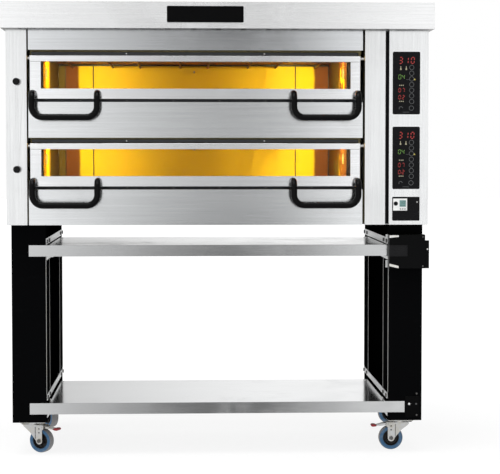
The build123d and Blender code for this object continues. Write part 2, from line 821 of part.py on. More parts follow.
def terminal_box():
    """Box on the right leg where the supply is connected, with a latch flange."""
    case = box(terminal_x0, terminal_x1, terminal_front, terminal_back, terminal_z0, terminal_z1)
    case -= box(terminal_x0 + 2, terminal_x1 - 2, terminal_front - 1, terminal_back - 2,
                terminal_z0 + 2, terminal_z1 - 2)
    flange = box(terminal_x1, terminal_x1 + latch_flange, terminal_front, terminal_front + 2,
                 terminal_z0, terminal_z1 - 23)
    return case + flange


def terminal_box_cover():
    """Flat lid of the terminal box."""
    lid = box(terminal_x0, terminal_x1, terminal_front - 3, terminal_front, terminal_z0, terminal_z1)
    return fillet(lid.edges().group_by(Axis.Y)[0], 1)


# ---------------------------------------------------------------- castors
def castor_places():
    """Swivel axis of each castor: name to X and Y."""
    front, rear = stand_front + castor_inset, stand_rear - castor_inset
    return {"front_left": (-castor_x, front), "front_right": (castor_x, front),
            "rear_left": (-castor_x, rear), "rear_right": (castor_x, rear)}


def plate_pattern():
    """Bolt offsets on a castor plate."""
    along, across = plate_bolts
    return [(dx, dy) for dx in (-along, along) for dy in (-across, across)]


def castor_plates():
    """Top plates, each with its raceway and king pin."""
    half_x, half_y = plate_half
    under = castor_height - castor_plate
    race_bottom = crown_top + free_gap
    plates = []
    for x, y in castor_places().values():
        top = box(x - half_x, x + half_x, y - half_y, y + half_y, under, castor_height)
        top = fillet(top.edges().filter_by(Axis.Z), 6)
        race = rod_z(24, x, y, race_bottom, under)
        pin = rod_z(king_pin_radius, x, y, 96, race_bottom + 1)
        nut = rod_z(9, x, y, 95, 101)
        holes = [rod_z(bolt_radius + free_gap, x + dx, y + dy, under - 1, castor_height + 1)
                 for dx, dy in plate_pattern()]
        plates.append(cut(fuse([top, race, pin, nut]), holes))
    return plates


def place_castor(piece, name):
    """Move a castor piece from its own axes to its place and heading."""
    x, y = castor_places()[name]
    return Pos(x, y, 0) * Rot(0, 0, castor_heading[name]) * piece


def castor_fork(braked):
    """Swivel housing, two cheeks and the axle; the wheel trails along +X."""
    half = cheek_half
    cheek = cheek_thickness
    toe_left, toe_right = castor_trail - cheek_toe, castor_trail + cheek_toe
    outline = Polyline((toe_right, wheel_radius), (toe_left, wheel_radius), (-5, 84), (cheek_front, 108),
                       (cheek_front, crown_top), (58, crown_top), (58, 100), (toe_right, 94), close=True)
    profile = make_face(outline) + Pos(castor_trail, wheel_radius) * Circle(cheek_toe)
    cheeks = [Plane.XZ.offset(offset) * extrude(profile, amount=cheek)
              for offset in (half - cheek, -half)]
    crown = box(cheek_front, 40, -half, half, crown_top - crown_thickness, crown_top)
    housing = rod_z(20, 0, 0, 101 + free_gap, crown_top - 1)
    axle = rod_y(axle_radius, castor_trail, -half - 3, half + 3, wheel_radius)
    nuts = [rod_y(8.5, castor_trail, sign * half, sign * (half + 4), wheel_radius) for sign in (-1, 1)]
    holes = [rod_z(king_pin_radius + fit_gap, 0, 0, 100, crown_top + 1)]
    if braked:
        holes.append(rod_y(pedal_pin + fit_gap, pedal_u, -half - 1, half + 1, pedal_z))
    holes += [rod_y(3, castor_trail, -half - 1, half + 1, z) for z in rivet_heights]
    return cut(fuse(cheeks + [crown, housing, axle] + nuts), holes)


def castor_wheel():
    """Tyre with rounded shoulders on a stepped hub."""
    half = wheel_width / 2
    tyre = rod_y(wheel_radius, castor_trail, -half, half, wheel_radius)
    tyre = fillet(tyre.edges().filter_by(GeomType.CIRCLE), 7)
    tyre -= rod_y(34, castor_trail, -half - 1, -half + 3, wheel_radius)
    tyre -= rod_y(34, castor_trail, half - 3, half + 1, wheel_radius)
    hub = rod_y(13, castor_trail, -20.4, 20.4, wheel_radius)
    return tyre + hub - rod_y(axle_radius + fit_gap, castor_trail, -30, 30, wheel_radius)


def brake_pedal():
    """Foot pedal on a cross pin between the cheeks."""
    outline = Polyline((pedal_u - 6, 104.5), (pedal_u + 6, 104.5), (74, 103), (100, 97), (117, 96),
                       (122, 101), (117, 106), (100, 104.5), (76, 109.5), (pedal_u + 6, 111),
                       (pedal_u - 6, 111), close=True)
    profile = make_face(outline)
    body = Plane.XZ.offset(-16) * extrude(profile, amount=32)
    pin = rod_y(pedal_pin, pedal_u, -cheek_half, cheek_half, pedal_z)
    return body + pin


os.makedirs("parts", exist_ok=True)

save("hood", hood())
save("flue_spigot", flue_spigot())
save("name_plate", [name_plate()])
save("side_covers", side_covers())
save("rear_cover", [rear_cover()])
save("base_pan", [base_pan()])
save("left_post", [left_post()])
save("right_post", [right_post()])
save("control_fascia", [control_fascia()])
save("deck_aprons", deck_aprons())
save("upper_fascia", [upper_fascia()])
save("door_headers", door_headers())
save("hearth_stones", hearth_stones())
save("heating_elements", heating_elements())
save("chamber_lamps", chamber_lamps())
save("thermocouples", thermocouples())
save("insulation", insulation())
save("flue_duct", flue_duct())
save("hinge_bushes", hinge_bushes())
save("power_panel", [power_panel()])
save("timer_module", [timer_module()])
save("main_switch", [main_switch()])
save("control_electronics", control_electronics())
save("fan_frame", [fan_frame()])
save("fan_rotor", [fan_rotor()])
save("cable_gland", cable_gland())
save("stand_legs", stand_legs())
save("stand_side_panels", stand_side_panels())
save("side_rails", side_rails())
save("stand_bolts", stand_bolts())
save("terminal_box", [terminal_box()])
save("terminal_box_cover", [terminal_box_cover()])
save("castor_plates", castor_plates())

for deck, door_z in decks.items():
    save(f"{deck}_chamber", chamber(door_z))
    save(f"{deck}_door_frame", door_frame(door_z))
    save(f"{deck}_door_glass", door_glass(door_z))
    save(f"{deck}_door_gasket", door_gasket(door_z))
    save(f"{deck}_hinge_pins", hinge_pins(door_z))
    save(f"{deck}_door_handles", door_handles(door_z))
    save(f"{deck}_damper", [damper(door_z)])
    save(f"{deck}_shelf", [shelf(shelf_tops[deck])])

save("keypads", [keypad(z0) for z0 in keypad_z.values()])

for castor in castor_places():
    has_brake = castor.startswith("front")
    save(f"{castor}_castor_fork", [place_castor(castor_fork(has_brake), castor)])
    save(f"{castor}_castor_wheel", [place_castor(castor_wheel(), castor)])
    if has_brake:
        save(f"{castor}_brake_pedal", [place_castor(brake_pedal(), castor)])
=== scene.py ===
import json
from math import cos, pi, radians, sin, tan

import bmesh
import bpy
from mathutils import Matrix, Vector


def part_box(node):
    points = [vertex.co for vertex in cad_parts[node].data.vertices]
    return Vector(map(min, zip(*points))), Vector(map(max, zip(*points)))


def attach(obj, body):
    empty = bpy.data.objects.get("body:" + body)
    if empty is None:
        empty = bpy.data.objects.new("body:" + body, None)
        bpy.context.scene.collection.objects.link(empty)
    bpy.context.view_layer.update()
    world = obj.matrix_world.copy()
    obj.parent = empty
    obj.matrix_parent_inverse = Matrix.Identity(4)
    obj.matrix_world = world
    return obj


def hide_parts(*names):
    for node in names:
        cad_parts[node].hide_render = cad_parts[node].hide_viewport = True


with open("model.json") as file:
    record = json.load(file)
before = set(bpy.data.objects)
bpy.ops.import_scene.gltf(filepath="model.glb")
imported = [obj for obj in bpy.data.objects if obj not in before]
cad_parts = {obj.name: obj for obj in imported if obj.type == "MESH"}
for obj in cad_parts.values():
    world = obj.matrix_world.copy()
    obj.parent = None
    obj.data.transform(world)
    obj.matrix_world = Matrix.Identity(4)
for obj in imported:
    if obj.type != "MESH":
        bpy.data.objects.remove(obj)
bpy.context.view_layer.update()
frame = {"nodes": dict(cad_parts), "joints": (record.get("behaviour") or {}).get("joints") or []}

# Stone-hearth deck oven on a castor stand. Metres; the doors and controls face -Y.
MM = 0.001
DECKS = ("lower", "upper")
CASTORS = ("front_left", "front_right", "rear_left", "rear_right")
OVEN = "oven"
TOWARDS_FRONT = (0, -1, 0)
joints = {joint["name"]: joint for joint in frame["joints"]}


# ------------ materials
class Nodes:
    """Short helpers that add nodes to a tree."""

    def __init__(self, tree):
        self.tree = tree

    def add(self, kind, inputs=None, **settings):
        node = self.tree.nodes.new(kind)
        for key, value in settings.items():
            setattr(node, key, value)
        for key, value in (inputs or {}).items():
            self.feed(node.inputs[key], value)
        return node

    def feed(self, socket, value):
        if isinstance(value, bpy.types.NodeSocket):
            self.tree.links.new(value, socket)
        else:
            socket.default_value = value

    def span(self, value, low, high, low_out=0.0, high_out=1.0):
        inputs = {"Value": value, "From Min": low, "From Max": high,
                  "To Min": low_out, "To Max": high_out}
        return self.add("ShaderNodeMapRange", inputs, clamp=True,
                        interpolation_type="SMOOTHSTEP").outputs["Result"]

    def maths(self, operation, first, second):
        node = self.add("ShaderNodeMath", operation=operation)
        self.feed(node.inputs[0], first)
        self.feed(node.inputs[1], second)
        return node.outputs[0]

    def part(self, vector, index):
        return self.add("ShaderNodeSeparateXYZ", {"Vector": vector}).outputs[index]


class Shader(Nodes):
    """A Principled material whose inputs are fed by a few short helpers."""

    def __init__(self, name):
        self.material = bpy.data.materials.new(name)
        self.material.use_nodes = True
        super().__init__(self.material.node_tree)
        self.surface = self.tree.nodes["Principled BSDF"]
        self.place = self.add("ShaderNodeTexCoord").outputs["Object"]

    def set(self, **values):
        for key, value in values.items():
            self.feed(self.surface.inputs[key.replace("_", " ")], value)

    def noise(self, scale, detail=3.0, rough=0.5, stretch=(1, 1, 1), distortion=0.0):
        place = self.add("ShaderNodeMapping", {"Vector": self.place, "Scale": stretch})
        inputs = {"Vector": place.outputs["Vector"], "Scale": scale, "Detail": detail,
                  "Roughness": rough, "Distortion": distortion}
        return self.add("ShaderNodeTexNoise", inputs).outputs["Fac"]

    def blend(self, factor, first, second):
        node = self.add("ShaderNodeMix", data_type="RGBA")
        self.feed(node.inputs["Factor"], factor)
        for index, colour in ((6, first), (7, second)):
            linked = isinstance(colour, bpy.types.NodeSocket)
            self.feed(node.inputs[index], colour if linked else rgba(colour))
        return node.outputs[2]

    def bump(self, height, strength, distance=0.001):
        inputs = {"Height": height, "Strength": strength, "Distance": distance}
        return self.add("ShaderNodeBump", inputs).outputs["Normal"]

    def facing_up(self):
        return self.part(self.add("ShaderNodeNewGeometry").outputs["Normal"], 2)

    def facing_front(self):
        to_back = self.part(self.add("ShaderNodeNewGeometry").outputs["Normal"], 1)
        return self.maths("MULTIPLY", to_back, -1.0)


def rgba(colour):
    return (*colour, 1.0)


def shade(colour, factor):
    return tuple(min(1.0, channel * factor) for channel in colour)


def brushed(name, colour, roughness, grain="X", dirt=0.12, spread=0.6, painted_underside_shade=False, painted_front_shade=1.0):
    """Brushed steel: fine lines along the grain, and smudges.

    The underside flag paints shade on what faces down, and the front factor paints a dark reflection on what
    faces the front.
    """
    s = Shader(name)
    fine = {"X": (2, 420, 420), "Z": (420, 420, 2), "Y": (420, 2, 420)}[grain]
    broad = {"X": (0.7, 60, 60), "Z": (60, 60, 0.7), "Y": (60, 0.7, 60)}[grain]
    lines = s.noise(4.0, 4.0, 0.7, fine)
    bands = s.noise(3.0, 2.0, 0.5, broad)
    smudge = s.noise(3.2, 5.0, 0.6, distortion=0.6)
    tone = s.blend(s.span(bands, 0.3, 0.7), shade(colour, 0.965), shade(colour, 1.02))
    tone = s.blend(s.span(lines, 0.25, 0.75, 0.0, 0.10), tone, shade(colour, 0.78))
    tone = s.blend(s.span(smudge, 0.52, 0.75, 0.0, dirt), tone, shade(colour, 0.86))
    rough = s.maths("ADD", s.span(lines, 0.2, 0.8, roughness - 0.05, roughness + 0.05),
                    s.span(smudge, 0.45, 0.8, 0.0, 0.09))
    # Painted shade: what faces down is darkened to near black.
    if painted_underside_shade:
        tone = s.blend(s.span(s.facing_up(), -0.7, -0.4, 1.0, 0.0), tone, (0.035, 0.032, 0.028))
    # Painted reflection: what faces the front is dulled to a darker tone.
    if painted_front_shade < 1.0:
        tone = s.blend(s.span(s.facing_front(), 0.6, 0.9), tone, shade(colour, painted_front_shade))
    s.set(Base_Color=tone, Metallic=1.0, Roughness=rough, Normal=s.bump(lines, 0.05, 0.0004),
          Anisotropic=spread, Anisotropic_Rotation=0.25 if grain == "X" else 0.0)
    return s.material


def powder_coat(name, colour, roughness, dust=0.10, coat=0.0, shine=0.06):
    """Painted sheet: orange-peel bump, faint scuffs and dust on what faces up."""
    s = Shader(name)
    peel = s.noise(520.0, 2.0, 0.5)
    scuff = s.noise(14.0, 6.0, 0.75, (1, 1, 3), 0.4)
    tone = s.blend(s.span(scuff, 0.56, 0.74, 0.0, 0.35), colour, shade(colour, 2.2))
    lifted = s.span(s.facing_up(), 0.6, 1.0, 0.0, dust)
    tone = s.blend(s.maths("MULTIPLY", lifted, s.noise(60.0, 4.0)), tone, (0.35, 0.34, 0.32))
    s.set(Base_Color=tone, Roughness=s.span(scuff, 0.3, 0.75, roughness - 0.06, roughness + 0.10),
          Normal=s.bump(peel, 0.12, 0.0003), Coat_Weight=coat, Coat_Roughness=0.12,
          Specular_IOR_Level=shine)
    return s.material


def moulded(name, colour, roughness, shine=0.4):
    """Moulded plastic: fine spark-eroded grain and slight mottling."""
    s = Shader(name)
    grain = s.noise(900.0, 2.0, 0.6)
    patch = s.noise(22.0, 4.0, 0.6)
    tone = s.blend(s.span(patch, 0.3, 0.7), shade(colour, 0.94), shade(colour, 1.06))
    s.set(Base_Color=tone, Roughness=s.span(patch, 0.3, 0.7, roughness - 0.04, roughness + 0.06),
          Normal=s.bump(grain, 0.10, 0.0003), Specular_IOR_Level=shine)
    return s.material


def plated(name, colour, roughness):
    """Zinc plate: cloudy spangle with a faint warm passivation."""
    s = Shader(name)
    cloud = s.noise(38.0, 5.0, 0.65, distortion=0.8)
    pit = s.noise(600.0, 2.0)
    warm = (colour[0] * 1.02, colour[1] * 0.97, colour[2] * 0.86)
    tone = s.blend(s.span(cloud, 0.35, 0.7), colour, warm)
    s.set(Base_Color=tone, Metallic=1.0, Roughness=s.span(cloud, 0.3, 0.7, roughness, roughness + 0.14),
          Normal=s.bump(pit, 0.06, 0.0002))
    return s.material


def glowing(name, colour, strength, base=(0.02, 0.02, 0.02)):
    """A lit sign, lamp or display: slight unevenness in its light."""
    s = Shader(name)
    uneven = s.noise(300.0, 2.0)
    tone = s.blend(s.span(uneven, 0.3, 0.7), shade(colour, 0.88), colour)
    s.set(Base_Color=rgba(base), Emission_Color=tone, Emission_Strength=strength, Roughness=0.3)
    return s.material


def heat_tint_and_painted_light(name):
    """Chamber liner: gold heat tint that also carries painted lamp light. Painted light and shade make it
    amber in the middle, lit yellow then shaded brown towards the corners, and lit at the front of the side
    walls but dark at their back, with painted shade on the brown roof and the dark flange.

    reach is 0 in the middle of the chamber's width and 1 at its side walls.
    """
    s = Shader(name)
    lo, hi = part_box("upper_chamber")
    right_flange = 0.047
    wider_left = 0.029
    middle_x = (lo.x + hi.x) / 2
    half_x = (hi.x - lo.x) / 2 - right_flange
    from_middle = s.maths("SUBTRACT", s.part(s.place, 0), middle_x)
    reach = s.maths("MAXIMUM", s.maths("DIVIDE", from_middle, half_x),
                    s.maths("DIVIDE", from_middle, wider_left - half_x))
    cloud = s.noise(2.6, 4.0, 0.6, distortion=0.5)
    reach = s.maths("ADD", reach, s.span(cloud, 0.3, 0.7, -0.008, 0.008))
    gold = (0.90, 0.60, 0.030)
    lemon = (0.92, 0.60, 0.014)
    amber = (0.60, 0.37, 0.018)
    brown = (0.17, 0.050, 0.009)
    # Painted light and shade across the width: darker amber in the middle, gold further out, then a lamp-lit
    # yellow band and a shaded brown band near the corners.
    tone = s.blend(s.span(reach, 0.05, 0.62), amber, gold)
    tone = s.blend(s.span(reach, 0.70, 0.84), tone, lemon)
    tone = s.blend(s.span(reach, 0.875, 0.900), tone, brown)
    depth = s.part(s.place, 1)
    # Painted light and shade on the side walls: lamp-lit yellow at the front, fading to dark towards the
    # back.
    wall = s.blend(s.span(depth, lo.y + 0.26, lo.y + 0.36), lemon, (0.135, 0.085, 0.014))
    tone = s.blend(s.span(reach, 0.9985, 0.9995), tone, wall)
    # Painted shade: the roof, and whatever faces down, turn brown.
    tone = s.blend(s.span(s.facing_up(), -0.7, -0.4, 1.0, 0.0), tone, (0.36, 0.12, 0.028))
    # Painted shade: the front flange at the mouth is darkened.
    flange = s.maths("MULTIPLY", s.span(s.facing_front(), 0.6, 0.9),
                     s.span(depth, lo.y + 0.02, lo.y + 0.05, 1.0, 0.0))
    tone = s.blend(flange, tone, (0.075, 0.060, 0.045))
    soot = s.noise(9.0, 6.0, 0.7, distortion=1.0)
    tone = s.blend(s.span(soot, 0.58, 0.80, 0.0, 0.28), tone, (0.16, 0.075, 0.02))
    lines = s.noise(4.0, 3.0, 0.6, (2, 300, 300))
    s.set(Base_Color=tone, Metallic=0.35, Roughness=s.span(lines, 0.2, 0.8, 0.42, 0.56),
          Normal=s.bump(lines, 0.05, 0.0004), Specular_IOR_Level=0.1)
    return s.material


def firestone(name):
    """Cordierite slab: speckled, floury and scorched in patches."""
    s = Shader(name)
    grit = s.noise(420.0, 3.0, 0.7)
    speck = s.noise(160.0, 2.0, 0.5)
    scorch = s.noise(7.0, 6.0, 0.65, distortion=0.5)
    tone = s.blend(s.span(speck, 0.35, 0.7), (0.62, 0.52, 0.38), (0.46, 0.36, 0.24))
    tone = s.blend(s.span(scorch, 0.50, 0.72, 0.0, 0.75), tone, (0.13, 0.075, 0.035))
    s.set(Base_Color=tone, Roughness=0.92, Normal=s.bump(grit, 0.5, 0.0006))
    return s.material


def fibrous(name, colour, weave=None):
    """Mineral wool, or a woven rope seal where weave gives its pitch."""
    s = Shader(name)
    strand = s.noise(180.0, 6.0, 0.8, (1, 1, 4), 1.5)
    tone = s.blend(s.span(strand, 0.3, 0.7), shade(colour, 0.7), shade(colour, 1.25))
    height = strand
    if weave:
        wave = s.add("ShaderNodeTexWave", {"Vector": s.place, "Scale": weave, "Distortion": 1.0})
        height = s.maths("ADD", strand, wave.outputs["Fac"])
    s.set(Base_Color=tone, Roughness=0.95, Normal=s.bump(height, 0.7, 0.001))
    return s.material


def hot_sheath(name):
    """Heating element: oxidised sheath with a dull orange glow that comes and goes."""
    s = Shader(name)
    patch = s.noise(16.0, 4.0, 0.6)
    oxide = s.noise(300.0, 3.0)
    tone = s.blend(s.span(oxide, 0.3, 0.7), (0.07, 0.035, 0.02), (0.13, 0.06, 0.03))
    glow = s.blend(s.span(patch, 0.30, 0.68), (0.25, 0.03, 0.0), (1.0, 0.30, 0.04))
    s.set(Base_Color=tone, Roughness=0.6, Metallic=0.5, Emission_Color=glow, Emission_Strength=0.06,
          Normal=s.bump(oxide, 0.3, 0.0004))
    return s.material


def pane(name):
    """Heat-proof glass: clear, with the faintest smear."""
    s = Shader(name)
    smear = s.noise(5.0, 5.0, 0.6, distortion=1.2)
    tone = s.blend(s.span(smear, 0.4, 0.8), (1.0, 0.995, 0.98), (0.97, 0.96, 0.93))
    s.set(Base_Color=tone, Roughness=s.span(smear, 0.5, 0.85, 0.0, 0.035), Transmission_Weight=1.0,
          IOR=1.1)
    return s.material


def rubber(name, colour):
    """Castor tyre: matt, dusty, with fine moulding grain."""
    s = Shader(name)
    grain = s.noise(700.0, 3.0, 0.6)
    dust = s.noise(30.0, 5.0, 0.7)
    tone = s.blend(s.span(dust, 0.45, 0.75, 0.0, 0.30), colour, (0.42, 0.41, 0.39))
    s.set(Base_Color=tone, Roughness=s.span(dust, 0.3, 0.7, 0.58, 0.75),
          Normal=s.bump(grain, 0.18, 0.0004))
    return s.material


def glossy_foil(name):
    """Keypad foil: near-black polyester with faint finger marks."""
    s = Shader(name)
    marks = s.noise(34.0, 5.0, 0.7, distortion=1.5)
    weave = s.noise(1500.0, 1.0)
    tone = s.blend(s.span(marks, 0.5, 0.8, 0.0, 0.4), (0.005, 0.005, 0.006), (0.014, 0.014, 0.016))
    s.set(Base_Color=tone, Roughness=s.span(marks, 0.4, 0.75, 0.22, 0.36),
          Normal=s.bump(weave, 0.03, 0.0002), Specular_IOR_Level=0.08)
    return s.material


# One brushed stainless steel throughout: base tones are set lighter or darker per part as painted light and
# shade, lightest on the top and doors, darkest on the fascia.
steel = (0.74, 0.755, 0.765)
looks = {
    "casing": brushed("casing_steel", steel, 0.15, "X"),
    "fascia": brushed("fascia_steel", (0.66, 0.675, 0.69), 0.13, "X"),
    "door": brushed("door_steel", (0.83, 0.84, 0.85), 0.15, "X", spread=0.4),
    "casing_upright": brushed("casing_steel_upright", (0.80, 0.81, 0.815), 0.19, "Z", spread=0.5),
    "top": brushed("top_steel", (0.91, 0.915, 0.92), 0.26, "X", dirt=0.2, spread=0.6, painted_underside_shade=True),
    # Shelf lips: their fronts get a painted dark reflection.
    "shelf": brushed("shelf_steel", (0.72, 0.73, 0.735), 0.14, "X", dirt=0.16, spread=0.2, painted_front_shade=0.74),
    "rail": brushed("rail_steel", (0.78, 0.79, 0.79), 0.30, "Y"),
    # Near-black header steel: painted shade for the header bars seen in the gaps above the doors.
    "header": brushed("header_steel", (0.075, 0.077, 0.08), 0.40, "X"),
    # Near-black steel: painted shade for the strips in the gaps under the doors, the stile shadow lines and
    # the strip under each chamber roof; also the chamber seams and the rear plate's ruled lines.
    "sill": brushed("sill_steel", (0.05, 0.052, 0.055), 0.45, "X"),
    "liner": heat_tint_and_painted_light("heat_tinted_liner"),
    "duct": brushed("duct_steel", (0.62, 0.62, 0.60), 0.36, "Z", dirt=0.3),
    "stone": firestone("hearth_stone"),
    "element": hot_sheath("element_sheath"),
    "lamp": glowing("chamber_lamp", (1.0, 0.76, 0.12), 0.8),
    "wool": fibrous("mineral_wool", (0.50, 0.43, 0.22)),
    "seal": fibrous("door_seal", (0.10, 0.055, 0.03), weave=90.0),
    "bronze": plated("bush_bronze", (0.55, 0.38, 0.17), 0.32),
    "plate_black": powder_coat("plate_black", (0.002, 0.002, 0.0022), 0.32, shine=0.04),
    "stand": powder_coat("stand_black", (0.0022, 0.0023, 0.0026), 0.42, shine=0.06),
    "leg": powder_coat("leg_black", (0.0026, 0.0027, 0.003), 0.42, shine=0.0),
    # Near-black paint for the pieces that stand for shade in the post's recess and for the dark reflection
    # on the shelf lip's end.
    "band_black": powder_coat("band_black", (0.009, 0.009, 0.010), 0.30, shine=0.12),
    "handle": powder_coat("handle_black", (0.002, 0.002, 0.0022), 0.22, dust=0.02, coat=0.02, shine=0.08),
    "white": moulded("timer_white", (0.80, 0.81, 0.80), 0.42),
    "black": moulded("black_plastic", (0.004, 0.004, 0.0045), 0.30, shine=0.14),
    "grey": moulded("electronics_plastic", (0.22, 0.235, 0.24), 0.5),
    "red": moulded("pedal_red", (0.30, 0.022, 0.028), 0.42),
    "zinc": plated("castor_zinc", (0.62, 0.63, 0.64), 0.28),
    "dark_zinc": plated("bolt_zinc", (0.16, 0.16, 0.165), 0.30),
    "tread": rubber("tyre_tread", (0.20, 0.20, 0.205)),
    "tyre_side": rubber("tyre_side", (0.035, 0.12, 0.24)),
    "hub": moulded("wheel_hub", (0.010, 0.009, 0.009), 0.42, shine=0.25),
    "foil": glossy_foil("keypad_foil"),
    "glass": pane("door_glass"),
    "silver": plated("silver_trim", (0.82, 0.83, 0.84), 0.20),
    "led_red": glowing("led_red", (1.0, 0.040, 0.025), 0.50),
    "led_green": glowing("led_green", (0.34, 0.80, 0.10), 0.45),
    "icon_cream": glowing("icon_cream", (0.92, 0.84, 0.55), 0.45),
    "icon_yellow": glowing("icon_yellow", (0.95, 0.78, 0.10), 0.5),
    # Painted light: the printed rings and lines glow, though print gives no light.
    "print": glowing("printed_line_painted_glow", (0.42, 0.44, 0.45), 0.26),
    "lcd": glowing("timer_display", (0.18, 0.36, 0.35), 0.25, base=(0.10, 0.19, 0.18)),
    "lcd_ink": moulded("display_ink", (0.02, 0.05, 0.05), 0.4),
    "pilot": glowing("pilot_lamp", (1.0, 1.0, 0.96), 0.30),
}


# ------------ mesh building
def in_scene(name, data):
    """Object made of the data and linked to the scene."""
    made = bpy.data.objects.new(name, data)
    bpy.context.scene.collection.objects.link(made)
    return made


def new_piece(name, bm, look, body, bevel=0.0, replaced=()):
    """Turn a bmesh into a piece that rides on a body. look is one name or a list of them."""
    mesh = bpy.data.meshes.new(name)
    bmesh.ops.recalc_face_normals(bm, faces=bm.faces)
    bm.to_mesh(mesh)
    bm.free()
    for key in [look] if isinstance(look, str) else look:
        mesh.materials.append(looks[key])
    piece = in_scene(name, mesh)
    mesh.shade_smooth()
    mesh.set_sharp_from_angle(angle=radians(35))
    if bevel:
        add_bevel(piece, bevel)
    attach(piece, body)
    if replaced:
        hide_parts(*replaced)


def in_metres(points):
    """Metres from pairs in millimetres."""
    return [(a * MM, b * MM) for a, b in points]


def both_halves(half):
    """Whole turned profile in metres from one half of it in millimetres."""
    return in_metres([(radius, -height) for radius, height in half] + half[::-1])


def add_bevel(piece, width):
    bevel = piece.modifiers.new("edge", "BEVEL")
    bevel.width = width
    bevel.segments = 2
    bevel.limit_method = "ANGLE"
    bevel.angle_limit = radians(30)
    bevel.use_clamp_overlap = True
    normals = piece.modifiers.new("normals", "WEIGHTED_NORMAL")
    normals.keep_sharp = True


def frame_at(origin, across, up):
    """Matrix whose X is across, Y is up and Z is their cross product, at origin."""
    x = Vector(across).normalized()
    y = Vector(up).normalized()
    z = x.cross(y)
    return Matrix.Translation(Vector(origin)) @ Matrix((x, y, z)).transposed().to_4x4()


def add_prism(bm, outline, depth, matrix):
    """Closed prism of a flat outline, from 0 to depth along the local Z."""
    bottom = [bm.verts.new(matrix @ Vector((u, v, 0))) for u, v in outline]
    top = [bm.verts.new(matrix @ Vector((u, v, depth))) for u, v in outline]
    count = len(outline)
    bm.faces.new(bottom[::-1])
    bm.faces.new(top)
    for i in range(count):
        j = (i + 1) % count
        bm.faces.new((bottom[i], bottom[j], top[j], top[i]))


def add_block(bm, low, high, edge=0.0, material=0):
    """Box between two corners, its edges rounded over."""
    low, high = Vector(low), Vector(high)
    piece = bmesh.new()
    bmesh.ops.create_cube(piece, size=1.0)
    for vert in piece.verts:
        vert.co = Vector([low[k] + (vert.co[k] + 0.5) * (high[k] - low[k]) for k in range(3)])
    if edge:
        bmesh.ops.bevel(piece, geom=piece.edges[:], offset=edge, segments=3, profile=0.5,
                        affect="EDGES", clamp_overlap=True)
    merge(bm, piece, material)


def merge(bm, piece, material=0):
    """Copy one bmesh into another and free it."""
    copies = {vert: bm.verts.new(vert.co) for vert in piece.verts}
    for face in piece.faces:
        bm.faces.new([copies[vert] for vert in face.verts]).material_index = material
    piece.free()


def add_lathe(bm, profile, matrix, segments, pick=None):
    """Turn a closed profile of (radius, height) points about the local Z.

    pick gives the material's index for each edge of the profile.
    """
    rings = []
    for radius, height in profile:
        if radius < 1e-7:
            rings.append([bm.verts.new(matrix @ Vector((0, 0, height)))])
            continue
        ring = []
        for step in range(segments):
            turn = 2 * pi * step / segments
            ring.append(bm.verts.new(matrix @ Vector((radius * cos(turn), radius * sin(turn), height))))
        rings.append(ring)
    count = len(profile)
    for i in range(count):
        first, second = rings[i], rings[(i + 1) % count]
        if len(first) == 1 and len(second) == 1:
            continue
        index = pick(i) if pick else 0
        for step in range(segments):
            after = (step + 1) % segments
            if len(first) == 1:
                corners = (first[0], second[after], second[step])
            elif len(second) == 1:
                corners = (first[step], first[after], second[0])
            else:
                corners = (first[step], first[after], second[after], second[step])
            bm.faces.new(corners).material_index = index


def rounded_path(points, radii, steps):
    """Polyline with each inner corner replaced by a tangent arc."""
    points = [Vector(p) for p in points]
    path = [points[0]]
    for before, corner, after, radius in zip(points[:-2], points[1:-1], points[2:], radii):
        into = (corner - before).normalized()
        out = (after - corner).normalized()
        half = into.angle(out) / 2
        setback = radius * tan(half)
        start = corner - into * setback
        middle = corner + (out - into).normalized() * (radius / cos(half))
        arm = start - middle
        axis = into.cross(out).normalized()
        for step in range(steps + 1):
            path.append(middle + Matrix.Rotation(2 * half * step / steps, 4, axis) @ arm)
    path.append(points[-1])
    return path


def add_tube(bm, path, radius, segments):
    """Round tube along a path, closed at both ends."""
    rings = []
    normal = None
    for index, point in enumerate(path):
        before = path[max(index - 1, 0)]
        after = path[min(index + 1, len(path) - 1)]
        along = (after - before).normalized()
        if normal is None:
            guess = Vector((0, 0, 1)) if abs(along.z) < 0.9 else Vector((1, 0, 0))
            normal = along.cross(guess).normalized()
        normal = (normal - along * normal.dot(along)).normalized()
        side = along.cross(normal)
        rings.append([bm.verts.new(point + (normal * cos(a) + side * sin(a)) * radius)
                      for a in (2 * pi * k / segments for k in range(segments))])
    for first, second in zip(rings[:-1], rings[1:]):
        for k in range(segments):
            j = (k + 1) % segments
            bm.faces.new((first[k], first[j], second[j], second[k]))
    bm.faces.new(rings[0][::-1])
    bm.faces.new(rings[-1])


def facing(origin, direction):
    """Matrix that puts local Z along a direction."""
    quaternion = Vector(direction).to_track_quat("Z", "Y")
    return Matrix.Translation(Vector(origin)) @ quaternion.to_matrix().to_4x4()


def screws(name, places, direction, radius, look="dark_zinc"):
    """Button-head screws, each with a socket."""
    height = radius * 0.55
    profile = [(0, height * 0.25), (radius * 0.30, height * 0.25), (radius * 0.36, height),
               (radius * 0.60, height * 0.96), (radius * 0.86, height * 0.62), (radius, height * 0.12),
               (radius, 0), (0, 0)]
    bm = bmesh.new()
    for place in places:
        add_lathe(bm, profile, facing(place, direction), 18)
    new_piece(name, bm, look, OVEN)


# ------------ CAD nodes that stay
def dress(node, look, bevel):
    """Give a CAD node its material, and round its edges."""
    part = frame["nodes"][node]
    part.data.materials.clear()
    part.data.materials.append(looks[look])
    if bevel:
        weld = part.modifiers.new("weld", "WELD")
        weld.merge_threshold = 0.00002
        add_bevel(part, bevel)


